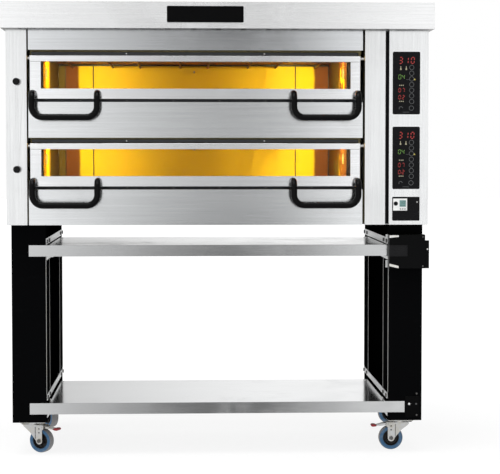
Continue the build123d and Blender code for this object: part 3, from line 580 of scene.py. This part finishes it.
def dress_cad_nodes():
    plain = {
        "hood": ("top", 0.0012), "flue_spigot": ("duct", 0.0005), "name_plate": ("plate_black", 0.0008),
        "side_covers": ("casing_upright", 0.0004), "rear_cover": ("casing_upright", 0.0004),
        "base_pan": ("duct", 0.0004), "left_post": ("casing_upright", 0.0005),
        "right_post": ("casing_upright", 0.0005), "control_fascia": ("casing_upright", 0.0005),
        "deck_aprons": ("casing", 0.0005), "upper_fascia": ("fascia", 0.0005),
        "door_headers": ("header", 0.0008), "hearth_stones": ("stone", 0.0015),
        "heating_elements": ("element", 0.0), "chamber_lamps": ("lamp", 0.0),
        "thermocouples": ("dark_zinc", 0.0), "insulation": ("wool", 0.002), "flue_duct": ("duct", 0.0004),
        "hinge_bushes": ("bronze", 0.0003), "power_panel": ("foil", 0.0006),
        "timer_module": ("white", 0.0004), "main_switch": ("black", 0.0003),
        "control_electronics": ("grey", 0.0008), "fan_frame": ("black", 0.0005),
        "fan_rotor": ("black", 0.0003), "cable_gland": ("black", 0.0006), "stand_legs": ("leg", 0.0012),
        "stand_side_panels": ("stand", 0.0006), "side_rails": ("rail", 0.0005),
        "stand_bolts": ("dark_zinc", 0.0004), "terminal_box": ("stand", 0.0008),
        "terminal_box_cover": ("stand", 0.0008), "castor_plates": ("zinc", 0.0006),
        "keypads": ("foil", 0.0004),
    }
    for deck in DECKS:
        plain[f"{deck}_chamber"] = ("liner", 0.0004)
        plain[f"{deck}_door_frame"] = ("door", 0.0004)
        plain[f"{deck}_door_glass"] = ("glass", 0.0)
        plain[f"{deck}_door_gasket"] = ("seal", 0.0008)
        plain[f"{deck}_hinge_pins"] = ("zinc", 0.0004)
        plain[f"{deck}_damper"] = ("black", 0.0003)
        plain[f"{deck}_shelf"] = ("shelf", 0.0006)
    for castor in CASTORS:
        plain[f"{castor}_castor_fork"] = ("zinc", 0.0006)
    for node, (look, bevel) in plain.items():
        dress(node, look, bevel)


# ------------ door handles
def door_handles(deck):
    """Bent-tube loops with smooth bends and closed ends, in place of the plain ones."""
    node = f"{deck}_door_handles"
    lo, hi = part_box(node)
    tube = 12.5 * MM
    span = 256 * MM
    root_z, grip_z = hi.z - tube, lo.z + tube
    grip_y, face_y = lo.y + tube, hi.y
    bm = bmesh.new()
    for x0 in (lo.x + tube, hi.x - tube - span):
        x1 = x0 + span
        corners = [(x0, face_y, root_z), (x0, grip_y, root_z), (x0, grip_y, grip_z),
                   (x1, grip_y, grip_z), (x1, grip_y, root_z), (x1, face_y, root_z)]
        add_tube(bm, rounded_path(corners, [r * MM for r in (28, 42, 42, 28)], 12), tube, 28)
        for x in (x0, x1):
            collar = [(0, 0), (tube + 0.0008, 0), (tube + 0.0008, 0.0006), (tube + 0.0004, 0.0012),
                      (tube - 0.001, 0.0014), (0, 0.0014)]
            add_lathe(bm, collar, facing((x, face_y, root_z), TOWARDS_FRONT), 32)
    new_piece(f"{deck}_handle_loops", bm, "handle", f"{deck}_door", replaced=[node])


# ------------ castors
def castor_axes(joint_name):
    """Origin on the joint, the trail direction, and the axle direction."""
    joint = joints[joint_name]
    axle = Vector(joint["axis"]).normalized()
    return Vector(joint["pos_m"]), axle.cross(Vector((0, 0, 1))), axle


def castor_wheel(castor):
    """Two-tone tyre on a ribbed hub with thread guards."""
    centre, _, axle = castor_axes(f"{castor}_wheel_roll")
    matrix = facing(centre, axle)
    half_profile = [(33.6, 15.0), (37.5, 16.9), (41.5, 17.9), (44.5, 17.6), (47.0, 16.2), (48.8, 13.8),
                    (49.7, 10.5), (50.0, 6.0)]
    profile = both_halves(half_profile)
    last = len(profile)
    bm = bmesh.new()
    add_lathe(bm, profile, matrix, 64, pick=lambda i: 1 if 4 <= i < last - 5 else 0)
    new_piece(f"{castor}_tyre", bm, ["tyre_side", "tread"], f"{castor}_wheel",
              replaced=[f"{castor}_castor_wheel"])
    bm = bmesh.new()
    hub = [(33.5, 14.5), (30.5, 15.2), (28.8, 13.2), (27.5, 8.5), (17.5, 8.0), (15.8, 10.5), (14.5, 18.8),
           (12.5, 20.3), (5.1, 20.3)]
    add_lathe(bm, both_halves(hub), matrix, 48)
    ribs = 7
    for side in (-1, 1):
        for index in range(ribs):
            turn = Matrix.Rotation(2 * pi * index / ribs, 4, "Z")
            rib = bmesh.new()
            bmesh.ops.create_cube(rib, size=1.0)
            for vert in rib.verts:
                vert.co = Vector((vert.co.x * 13.5 * MM + 22.2 * MM, vert.co.y * 2.6 * MM,
                                  vert.co.z * 5.0 * MM + side * 10.0 * MM))
            bmesh.ops.bevel(rib, geom=rib.edges[:], offset=0.6 * MM, segments=2, affect="EDGES")
            bmesh.ops.transform(rib, matrix=matrix @ turn, verts=rib.verts)
            merge(bm, rib)
    new_piece(f"{castor}_hub", bm, "hub", f"{castor}_wheel")


def brake_pedal(castor):
    """Pressed pedal with a rolled edge and a red toe cap."""
    pivot, trail, axle = castor_axes(f"{castor}_brake")
    matrix = frame_at(pivot, trail, (0, 0, 1))
    outline = [(-6, -3.0), (6, -3.0), (23, -4.5), (49, -10.5), (64, -11.5), (64, -9.5), (49, -4.5),
               (25, 1.6), (7, 3.4), (-6, 3.4)]
    bm = bmesh.new()
    slide = Matrix.Translation((0, 0, -13.5 * MM))
    add_prism(bm, in_metres(outline), 27 * MM, matrix @ slide)
    for side in (-15.2, 13.2):
        lip = [(-7, -4.5), (8, -5.5), (36, -8.6), (38, -3.6), (24, 2.4), (8, 4.6), (-7, 4.6)]
        add_prism(bm, in_metres(lip), 2.0 * MM,
                  matrix @ Matrix.Translation((0, 0, side * MM)))
    pin, reach = 3.0 * MM, 23.4 * MM
    add_lathe(bm, [(0, -reach), (pin, -reach), (pin, reach), (0, reach)], matrix, 20)
    new_piece(f"{castor}_pedal_plate", bm, "zinc", f"{castor}_pedal", bevel=0.0006,
              replaced=[f"{castor}_brake_pedal"])
    bm = bmesh.new()
    cap = [(47, -8.6), (54, -11.6), (66, -12.0), (71, -6.6), (66, -1.2), (54, -1.6), (47, -4.8)]
    add_prism(bm, in_metres(cap), 31 * MM,
              matrix @ Matrix.Translation((0, 0, -15.5 * MM)))
    new_piece(f"{castor}_pedal_cap", bm, "red", f"{castor}_pedal", bevel=0.0016)


def fork_details(castor):
    """Pressed rib on each cheek, and the axle's hexagon nuts."""
    centre, trail, axle = castor_axes(f"{castor}_wheel_roll")
    ribs, nuts = bmesh.new(), bmesh.new()
    for way in (-1, 1):
        outward = axle * way
        across = frame_at(centre + outward * 23.5 * MM, Vector((0, 0, 1)).cross(outward), (0, 0, 1))
        u = -17.5 if across.col[0].to_3d().dot(trail) > 0 else 17.5
        rib = [(u - 1.3, 8), (u + 1.3, 8), (u + 1.3, 58), (u - 1.3, 58)]
        add_prism(ribs, in_metres(rib), 1.1 * MM, across)
        turns = [radians(30 + 60 * k) for k in range(6)]
        hexagon = [(9.2 * MM * cos(t), 9.2 * MM * sin(t)) for t in turns]
        add_prism(nuts, hexagon, 5.0 * MM, across)
        end = [(0, 0), (4 * MM, 0), (4 * MM, 5.9 * MM), (3.2 * MM, 6.6 * MM), (0, 6.6 * MM)]
        add_lathe(nuts, end, across, 20)
    new_piece(f"{castor}_fork_ribs", ribs, "dark_zinc", f"{castor}_swivel", bevel=0.0004)
    new_piece(f"{castor}_axle_nuts", nuts, "dark_zinc", f"{castor}_swivel", bevel=0.0004)


# ------------ keypads
PRINT_DEPTH = 0.00035
SEGMENTS = {"0": "abcdef", "1": "bc", "2": "abged", "3": "abgcd", "4": "fgbc", "7": "abc"}


def on_panel(x, z, y):
    """Local X to the right, local Y up, local Z out of a front-facing panel."""
    return frame_at((x, y, z), (1, 0, 0), (0, 0, 1))


def add_digit(bm, figure, x, z, y, width, height, stroke):
    """Seven-segment figure with its lower left corner at x, z."""
    half = height / 2
    bars = {"a": (0, height, width, height), "g": (0, half, width, half), "d": (0, 0, width, 0),
            "f": (0, half, 0, height), "b": (width, half, width, height),
            "e": (0, 0, 0, half), "c": (width, 0, width, half)}
    lean = 0.08
    thin = stroke / 2
    for key in SEGMENTS[figure]:
        u0, v0, u1, v1 = bars[key]
        gap = stroke * 0.62
        if v0 == v1:
            outline = [(u0 + gap, v0), (u0 + gap + thin, v0 - thin), (u1 - gap - thin, v0 - thin),
                       (u1 - gap, v0), (u1 - gap - thin, v0 + thin), (u0 + gap + thin, v0 + thin)]
        else:
            outline = [(u0, v0 + gap), (u0 + thin, v0 + gap + thin), (u0 + thin, v1 - gap - thin),
                       (u0, v1 - gap), (u0 - thin, v1 - gap - thin), (u0 - thin, v0 + gap + thin)]
        outline = [(u + lean * v, v) for u, v in outline]
        add_prism(bm, outline, PRINT_DEPTH, on_panel(x, z, y))


def add_ring(bm, x, z, y, outer, inner):
    profile = [(inner, 0), (outer, 0), (outer, PRINT_DEPTH), (inner, PRINT_DEPTH)]
    add_lathe(bm, profile, on_panel(x, z, y), 28)


def add_strip(bm, x, z, y, width, height):
    outline = [(-width / 2, -height / 2), (width / 2, -height / 2), (width / 2, height / 2),
               (-width / 2, height / 2)]
    add_prism(bm, outline, PRINT_DEPTH, on_panel(x, z, y))


def keypad_faces():
    """Figures, key rings and pictograms on both keypads, all made-up and generic."""
    lo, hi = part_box("keypads")
    tall = 250 * MM
    y = lo.y
    for deck, base in (("lower", lo.z), ("upper", hi.z - tall)):
        left = lo.x
        top = base + tall

        def at(u, v):
            return left + u * MM, top - v * MM

        bm = bmesh.new()
        for index, figure in enumerate("310"):
            x, z = at(25 + index * 24, 47)
            add_digit(bm, figure, x, z, y, 12 * MM, 24.5 * MM, 2.9 * MM)
        for figures, drop in (("07", 161), ("02", 189)):
            for index, figure in enumerate(figures):
                x, z = at(23 + index * 15, drop)
                add_digit(bm, figure, x, z, y, 8.5 * MM, 15 * MM, 2.6 * MM)
        new_piece(f"{deck}_keypad_red_figures", bm, "led_red", OVEN)
        bm = bmesh.new()
        for index, figure in enumerate("04"):
            x, z = at(23 + index * 14, 109)
            add_digit(bm, figure, x, z, y, 9 * MM, 17 * MM, 2.0 * MM)
        new_piece(f"{deck}_keypad_green_figures", bm, "led_green", OVEN)
        bm = bmesh.new()
        for u in (32, 54):
            x, z = at(u, 66)
            add_ring(bm, x, z - 0.0035, y, 3.4 * MM, 0.4 * MM)
            add_strip(bm, x, z + 0.0035, y, 2.6 * MM, 9 * MM)
        for v in (134, 198):
            for u in (28, 35, 42):
                x, z = at(u, v)
                add_strip(bm, x, z, y, 4.2 * MM, 3.4 * MM)
        new_piece(f"{deck}_keypad_cream_icons", bm, "icon_cream", OVEN)
        bm = bmesh.new()
        x, z = at(88, 110)
        add_prism(bm, [(-0.004, -0.003), (0.004, -0.003), (0, 0.004)], PRINT_DEPTH, on_panel(x, z, y))
        new_piece(f"{deck}_keypad_yellow_icon", bm, "icon_yellow", OVEN)
        bm = bmesh.new()
        for row in range(7):
            x, z = at(76, 63 + row * 22.6)
            add_ring(bm, x, z, y, 9.6 * MM, 8.3 * MM)
        x, z = at(75, 225)
        add_ring(bm, x, z, y, 9.6 * MM, 8.2 * MM)
        for index in range(7):
            turn = radians(20 + index * 30)
            cx, cz = at(33, 226)
            add_strip(bm, cx + 7 * MM * cos(turn), cz + 7 * MM * sin(turn), y, 2.2 * MM, 2.2 * MM)
        x, z = at(54, 241)
        add_strip(bm, x, z, y, 26 * MM, 1.1 * MM)
        x, z = at(60, 111)
        add_strip(bm, x, z, y, 12 * MM, 0.8 * MM)
        new_piece(f"{deck}_keypad_print", bm, "print", OVEN)


def timer_face():
    """Clock display, its bezel and keys, and the pilot lamp on the power panel."""
    lo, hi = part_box("timer_module")
    y = lo.y
    bm = bmesh.new()
    add_block(bm, (lo.x + 0.022, y - 0.0008, hi.z - 0.035), (hi.x - 0.003, y + 0.001, hi.z - 0.004), 0.0006)
    new_piece("timer_bezel", bm, "white", OVEN)
    bm = bmesh.new()
    x0, x1 = lo.x + 0.025, hi.x - 0.0055
    z0, z1 = hi.z - 0.0325, hi.z - 0.0065
    add_block(bm, (x0, y - 0.0013, z0), (x1, y, z1), 0.0003)
    new_piece("timer_display", bm, "lcd", OVEN)
    bm = bmesh.new()
    for index, figure in enumerate("1200"):
        add_digit(bm, figure, x0 + 0.003 + index * 0.006, z0 + 0.013, y - 0.0013, 0.0036, 0.008, 0.0009)
    for index in range(7):
        add_strip(bm, x0 + 0.0035 + index * 0.0032, z0 + 0.005, y - 0.0013, 0.0018, 0.0018)
    new_piece("timer_figures", bm, "lcd_ink", OVEN)
    bm = bmesh.new()
    for index in range(3):
        x = lo.x + 0.029 + index * 0.009
        add_block(bm, (x - 0.003, y - 0.0012, lo.z + 0.004), (x + 0.003, y + 0.001, lo.z + 0.0085), 0.0005)
    new_piece("timer_keys", bm, "grey", OVEN)
    button_lo, button_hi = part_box("main_switch")
    centre = ((button_lo.x + button_hi.x) / 2, y, (button_lo.z + button_hi.z) / 2)
    bm = bmesh.new()
    ring = [(5.2 * MM, 0), (8.4 * MM, 0), (8.4 * MM, 0.5 * MM), (7.4 * MM, 1.1 * MM), (5.6 * MM, 1.1 * MM),
            (5.2 * MM, 0.8 * MM)]
    add_lathe(bm, ring, facing(centre, TOWARDS_FRONT), 36)
    new_piece("switch_surround", bm, "black", OVEN)
    lo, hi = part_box("power_panel")
    bm = bmesh.new()
    lamp = (hi.x - 0.010, lo.y, hi.z - 0.021)
    add_lathe(bm, [(0, 0), (0.0034, 0), (0.0034, 0.0008), (0.0026, 0.0018), (0.0013, 0.0023), (0, 0.0024)],
              facing(lamp, TOWARDS_FRONT), 24)
    new_piece("pilot_lamp", bm, "pilot", OVEN)


# ------------ casing details
def name_plate_border():
    """Narrow raised rim round the blank plate."""
    lo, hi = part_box("name_plate")
    rim = 0.0022
    bm = bmesh.new()
    y0, y1 = lo.y - 0.0008, lo.y + 0.0006
    inset = 0.0012
    x0, x1, z0, z1 = lo.x + inset, hi.x - inset, lo.z + inset, hi.z - inset
    add_block(bm, (x0, y0, z0), (x1, y1, z0 + rim), 0.0004)
    add_block(bm, (x0, y0, z1 - rim), (x1, y1, z1), 0.0004)
    add_block(bm, (x0, y0, z0 + rim), (x0 + rim, y1, z1 - rim), 0.0004)
    add_block(bm, (x1 - rim, y0, z0 + rim), (x1, y1, z1 - rim), 0.0004)
    new_piece("name_plate_border", bm, "plate_black", OVEN)


def gap_strips():
    """Dark strip under each door as painted shade in the gap, with its screws, and the header's screws."""
    for deck in DECKS:
        door_lo, door_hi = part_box(f"{deck}_door_frame")
        header_lo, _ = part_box("door_headers")
        back_y = header_lo.y
        # Painted shade: a dark strip fills the gap under each door.
        bm = bmesh.new()
        z0, z1 = door_lo.z - 0.0112, door_lo.z - 0.0012
        add_block(bm, (door_lo.x + 0.003, back_y - 0.002, z0),
                  (door_hi.x - 0.003, back_y + 0.005, z1), 0.0006)
        new_piece(f"{deck}_sill_shade_strip", bm, "sill", OVEN)
        span = door_hi.x - door_lo.x
        places = [(door_lo.x + span * (0.15 + 0.141 * k), back_y - 0.002, (z0 + z1) / 2) for k in range(6)]
        screws(f"{deck}_sill_screws", places, TOWARDS_FRONT, 0.0036)
        top = door_hi.z + 0.010
        places = [(door_lo.x + span * part, back_y, top) for part in (0.29, 0.71)]
        screws(f"{deck}_header_screws", places, TOWARDS_FRONT, 0.0036, "silver")


def stile_seams():
    """Shadow lines across the door stiles at the height of the window's top."""
    for deck in DECKS:
        lo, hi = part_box(f"{deck}_door_frame")
        z = hi.z - 23 * MM
        bm = bmesh.new()
        for x0, x1 in ((lo.x + 2 * MM, lo.x + 42.5 * MM), (hi.x - 37.5 * MM, hi.x - 2 * MM)):
            add_block(bm, (x0, lo.y - 0.15 * MM, z - 1.3 * MM), (x1, lo.y + 0.8 * MM, z), 0.0001)
        new_piece(f"{deck}_stile_seams", bm, "sill", f"{deck}_door")


def groove_shade_liner():
    """Dark channel that lines the recess between the right post and the control column, as painted shade in
    the recess.
    """
    post_lo, post_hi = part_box("right_post")
    lo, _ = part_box("control_fascia")
    x0, x1 = post_hi.x - 15 * MM, lo.x
    y0, y1 = lo.y + 0.8 * MM, lo.y + 30.6 * MM
    wall = 0.9 * MM
    outline = [(x0, y0), (x0 + wall, y0), (x0 + wall, y1 - wall), (x1 - wall, y1 - wall), (x1 - wall, y0),
               (x1, y0), (x1, y1), (x0, y1)]
    bm = bmesh.new()
    add_prism(bm, outline, post_hi.z - post_lo.z - 4 * MM, Matrix.Translation((0, 0, post_lo.z + 2 * MM)))
    # Painted shade: a near-black lining darkens the recess.
    new_piece("groove_shade_liner", bm, "band_black", OVEN, bevel=0.0003)


def chamber_seams():
    """Folded seams down the back wall of each chamber, and a dark strip along the top of the back wall as
    painted shade under the roof.
    """
    for deck in DECKS:
        lo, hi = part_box(f"{deck}_chamber")
        back = hi.y - 2 * MM
        bm = bmesh.new()
        for x in (lo.x + 0.202, hi.x - 0.198):
            add_block(bm, (x - 0.0022, back - 0.003, lo.z + 0.05), (x + 0.0022, back, hi.z - 0.0025), 0.0008)
        for x in (lo.x + 0.0775, hi.x - 0.0485):
            add_block(bm, (x - 0.0018, back - 0.004, lo.z + 0.05), (x + 0.0018, back, hi.z - 0.0025), 0.0008)
        # Painted shade: a dark strip along the top of the back wall, under the roof.
        roof = hi.z - 2 * MM
        add_block(bm, (lo.x + 0.0485, back - 0.007, roof - 0.008), (hi.x - 0.0485, back, roof), 0.0008)
        new_piece(f"{deck}_chamber_seams", bm, "sill", OVEN)


def cover_screws():
    """Screws round the side and rear covers."""
    lo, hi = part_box("side_covers")
    inset = 0.018
    rows = [lo.z + inset + (hi.z - lo.z - 2 * inset) * k / 4 for k in range(5)]
    for name, x, way in (("left", lo.x, -1), ("right", hi.x, 1)):
        places = [(x, y, z) for z in rows for y in (lo.y + inset, hi.y - inset)]
        places += [(x, lo.y + (hi.y - lo.y) * k / 4, z) for k in (1, 2, 3) for z in (rows[0], rows[-1])]
        screws(f"{name}_cover_screws", places, (way, 0, 0), 0.0055, "silver")
    lo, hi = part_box("rear_cover")
    places = []
    for k in range(8):
        x = lo.x + inset + (hi.x - lo.x - 2 * inset) * k / 7
        places += [(x, hi.y, rows[0]), (x, hi.y, rows[-1])]
    for z in rows[1:-1]:
        places += [(lo.x + inset, hi.y, z), (hi.x - inset, hi.y, z)]
    screws("rear_cover_screws", places, (0, 1, 0), 0.0055, "silver")


def louvre_hoods():
    """Pressed hoods over the slots in the right cover."""
    lo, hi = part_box("side_covers")
    x = hi.x
    hood = [(0, 0.0115), (0.0036, 0.0098), (0.0062, 0.0052), (0.0068, 0.0002), (0.0060, 0.0002),
            (0.0055, 0.0048), (0.0031, 0.0089), (0, 0.0102)]
    bm = bmesh.new()
    upright = Matrix(((1, 0, 0, 0), (0, 0, -1, 0), (0, 1, 0, 0), (0, 0, 0, 1)))
    rear_end, length = 0.502, 0.124
    for row in range(9):
        z = lo.z + 0.070 + row * 0.022
        add_prism(bm, hood, length, Matrix.Translation((x, rear_end, z)) @ upright)
    new_piece("louvre_hoods", bm, "casing_upright", OVEN, bevel=0.0003)


def fan_guard():
    """Wire guard over the fan's slots."""
    lo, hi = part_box("fan_frame")
    _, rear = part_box("rear_cover")
    x, z = (lo.x + hi.x) / 2, (lo.z + hi.z) / 2
    y = rear.y + 0.0022
    bm = bmesh.new()
    wire = 0.0011
    for radius in (0.014, 0.025, 0.036, 0.047, 0.058):
        loop = [(radius - wire, 0), (radius - wire * 0.4, wire), (radius + wire * 0.4, wire),
                (radius + wire, 0), (radius + wire * 0.4, -wire), (radius - wire * 0.4, -wire)]
        add_lathe(bm, loop, facing((x, y, z), (0, 1, 0)), 48)
    for index in range(4):
        turn = radians(45 + 90 * index)
        tip = Vector((x + 0.076 * cos(turn), y - 0.0012, z + 0.076 * sin(turn)))
        start = Vector((x + 0.012 * cos(turn), y - 0.0012, z + 0.012 * sin(turn)))
        add_tube(bm, [start, tip], wire, 10)
        add_lathe(bm, [(0.0028, -0.001), (0.0055, -0.001), (0.0055, 0.0008), (0.0028, 0.0008)],
                  facing(tip, (0, 1, 0)), 20)
    new_piece("fan_guard", bm, "zinc", OVEN)


def rear_plate():
    """Blank rating plate with empty ruled fields."""
    lo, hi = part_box("rear_cover")
    x1 = hi.x - 0.10
    x0, z0 = x1 - 0.12, lo.z + 0.30
    bm = bmesh.new()
    add_block(bm, (x0, hi.y, z0), (x1, hi.y + 0.0012, z0 + 0.08), 0.0004)
    for k in range(4):
        z = z0 + 0.014 + 0.016 * k
        add_block(bm, (x0 + 0.008, hi.y + 0.001, z), (x1 - 0.008, hi.y + 0.0016, z + 0.0008), 0.0002, 1)
    new_piece("rear_blank_plate", bm, ["silver", "sill"], OVEN)


# ------------ stand details
def leg_foot_plate():
    """Small black plate on the right leg, with its fixing screw and bolts."""
    lo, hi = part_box("stand_legs")
    _, shelf_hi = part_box("lower_shelf")
    x0, x1 = shelf_hi.x + 0.003, hi.x - 0.008
    z0 = lo.z + 0.022
    z1 = z0 + 0.086
    y = lo.y
    face = y - 0.0022
    screw_z = z0 + 0.056
    bm = bmesh.new()
    add_block(bm, (x0, face, z0), (x1, y, z1), 0.0007)
    new_piece("leg_foot_plate", bm, "plate_black", OVEN)
    screws("leg_plate_screw", [(x0 + 0.016, face, screw_z)], TOWARDS_FRONT, 0.0046, "white")
    places = [(x1 - 0.014, face, screw_z), (x1 - 0.012, y, z1 + 0.012), (x1 - 0.012, face, z0 + 0.010)]
    screws("leg_plate_bolts", places, TOWARDS_FRONT, 0.0042)


def leg_edge_highlights():
    """Bright strip down each inner edge of the folded legs, between the two shelves, as a painted highlight
    on the edges.
    """
    lo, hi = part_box("stand_legs")
    _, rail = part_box("side_rails")
    panel_lo, panel_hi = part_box("stand_side_panels")
    z0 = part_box("lower_shelf")[1].z + 0.034
    z1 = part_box("upper_shelf")[0].z - 0.004
    width = 0.0019
    bm = bmesh.new()
    for side in (-1, 1):
        x0, x1 = sorted((side * (rail.x - width), side * rail.x))
        for y in (lo.y, panel_lo.y - width, panel_hi.y, hi.y - width):
            add_block(bm, (x0, y, z0), (x1, y + width, z1), 0.0006)
    new_piece("leg_edge_highlights", bm, "zinc", OVEN)


def terminal_box_details():
    """Dark raised band as a painted reflection on the shelf lip's end, and the latch screw and lid screws of
    the terminal box.
    """
    lo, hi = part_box("terminal_box_cover")
    shelf_lo, shelf_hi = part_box("upper_shelf")
    y = lo.y
    # Painted reflection: a dark band where the shelf lip's end passes the box.
    bm = bmesh.new()
    add_block(bm, (lo.x + 0.0005, y - 0.0016, shelf_lo.z), (shelf_hi.x + 0.003, y, shelf_hi.z), 0.0006)
    new_piece("terminal_box_lip_reflection", bm, "band_black", OVEN)
    bm = bmesh.new()
    for base, tip in ((hi.z - 2 * MM, [(0, -11), (38, -7), (38, 0), (0, 0)]),
                      (lo.z + 1 * MM, [(0, 8), (38, 0), (38, 9), (0, 19)])):
        add_prism(bm, in_metres(tip), 1.4 * MM, on_panel(lo.x + 0.3 * MM, base, y))
    new_piece("terminal_bracket_tips", bm, "silver", OVEN, bevel=0.0004)
    inset = 0.009
    places = [(hi.x - inset, y, z) for z in (lo.z + inset, hi.z - inset)]
    screws("terminal_lid_screws", places, TOWARDS_FRONT, 0.0038)
    box_lo, box_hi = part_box("terminal_box")
    place = (box_hi.x - 0.0065, box_lo.y, box_lo.z + 0.078)
    screws("terminal_latch_screw", [place], TOWARDS_FRONT, 0.0042, "silver")


dress_cad_nodes()
for deck_name in DECKS:
    door_handles(deck_name)
for castor_name in CASTORS:
    castor_wheel(castor_name)
    fork_details(castor_name)
    if castor_name.startswith("front"):
        brake_pedal(castor_name)
keypad_faces()
timer_face()
name_plate_border()
gap_strips()
stile_seams()
groove_shade_liner()
chamber_seams()
cover_screws()
louvre_hoods()
fan_guard()
rear_plate()
leg_foot_plate()
leg_edge_highlights()
terminal_box_details()


# ------------ stage, lights and camera
def floor():
    """Pale studio floor that fades to white away from the object."""
    s = Shader("studio_floor")
    radius = s.add("ShaderNodeVectorMath", {0: s.place}, operation="LENGTH").outputs["Value"]
    fade = s.span(radius, 1.0, 3.4, 0.84, 1.0)
    grain = s.noise(30.0, 3.0)
    s.set(Base_Color=s.blend(s.span(grain, 0.3, 0.7), (0.19, 0.19, 0.19), (0.21, 0.21, 0.21)),
          Roughness=0.7, Specular_IOR_Level=0.0, Emission_Color=(1, 1, 1, 1), Emission_Strength=fade)
    bm = bmesh.new()
    far = 40.0
    corners = ((-far, -far), (far, -far), (far, far), (-far, far))
    bm.faces.new([bm.verts.new((x, y, 0)) for x, y in corners])
    mesh = bpy.data.meshes.new("studio_floor")
    bm.to_mesh(mesh)
    bm.free()
    mesh.materials.append(s.material)
    ground = in_scene("studio_floor", mesh)
    ground.visible_glossy = False


# What the object mirrors straight ahead: brightness of the dark part, of the light stripe
# across it at eye level, and of what stands to its left and right.
BAND_LOW = 0.02
BAND_HIGH = 0.68
SIDE_LEVEL = 1.3


def studio_world():
    """White to the camera; mirrored, it is dark ahead with a light stripe, and greyer around."""
    world = bpy.data.worlds.new("studio")
    bpy.context.scene.world = world
    world.use_nodes = True
    nodes = Nodes(world.node_tree)
    maths, span = nodes.maths, nodes.span

    def mixed(share, first, second):
        """share of first and the rest of second."""
        rest = maths("MULTIPLY", maths("SUBTRACT", 1.0, share), second)
        return maths("ADD", maths("MULTIPLY", share, first), rest)

    direction = nodes.add("ShaderNodeTexCoord").outputs["Generated"]
    x, y, z = nodes.add("ShaderNodeSeparateXYZ", {"Vector": direction}).outputs
    beside = maths("MAXIMUM", span(x, -0.135, 0.045, 1.0, 0.0), span(x, 0.05, 0.115, 0.0, 1.0))
    level = maths("MINIMUM", span(z, -0.07, 0.0, BAND_LOW, BAND_HIGH),
                  span(z, 0.03, 0.085, BAND_HIGH, BAND_LOW))
    ahead = mixed(beside, SIDE_LEVEL, level)
    behind = span(x, -0.11, 0.07, 0.68, 1.06)
    around = maths("MULTIPLY", span(x, -0.8, 0.8, 1.0, 0.58), span(z, -0.3, 0.7, 0.80, 1.0))
    elsewhere = mixed(span(y, 0.90, 0.97, 0.0, 1.0), behind, around)
    mirrored = mixed(span(y, -0.97, -0.90, 1.0, 0.0), ahead, elsewhere)
    seen = nodes.add("ShaderNodeLightPath").outputs["Is Camera Ray"]
    strength = mixed(seen, 1.0, mirrored)
    background = world.node_tree.nodes["Background"]
    background.inputs["Color"].default_value = (1.0, 1.0, 1.0, 1.0)
    nodes.feed(background.inputs["Strength"], strength)


def area_light(name, place, target, size, power, colour=(1, 1, 1)):
    lamp = bpy.data.lights.new(name, "AREA")
    lamp.shape = "RECTANGLE"
    lamp.size, lamp.size_y = size
    lamp.energy = power
    lamp.color = colour
    holder = in_scene(name, lamp)
    holder.location = place
    holder.rotation_euler = (Vector(target) - Vector(place)).to_track_quat("-Z", "Y").to_euler()


def lights():
    """Soft overhead light, and warm light inside each chamber."""
    area_light("overhead", place=(-0.6, -1.6, 4.6), target=(0, 0, 0.6), size=(3.4, 2.6), power=90)
    for deck in DECKS:
        lo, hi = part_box(f"{deck}_chamber")
        top = hi.z - 0.03
        for letter, x, inward in (("a", lo.x + 0.10, 0.35), ("b", hi.x - 0.10, -0.35)):
            area_light(f"{deck}_chamber_glow_{letter}", place=(x, lo.y + 0.10, top),
                       target=(x + inward, hi.y, lo.z + 0.09), size=(0.10, 0.05), power=3.0,
                       colour=(1.0, 0.88, 0.36))
        area_light(f"{deck}_chamber_spill", place=(hi.x - 0.20, lo.y + 0.075, top),
                   target=(hi.x - 0.04, lo.y + 0.14, lo.z + 0.10), size=(0.06, 0.03), power=0.9,
                   colour=(1.0, 0.90, 0.36))


def camera():
    """Long lens from the front, a little left of centre, level with the lower door."""
    lens = bpy.data.cameras.new("camera")
    lens.lens = 117.1
    lens.sensor_width = 36.0
    lens.clip_end = 100.0
    holder = in_scene("camera", lens)
    holder.location = (-0.14, -7.002, 1.218)
    holder.rotation_euler = (radians(87.18), 0, radians(-2.348))
    bpy.context.scene.camera = holder


floor()
studio_world()
lights()
camera()
bpy.context.scene.view_settings.view_transform = "Standard"
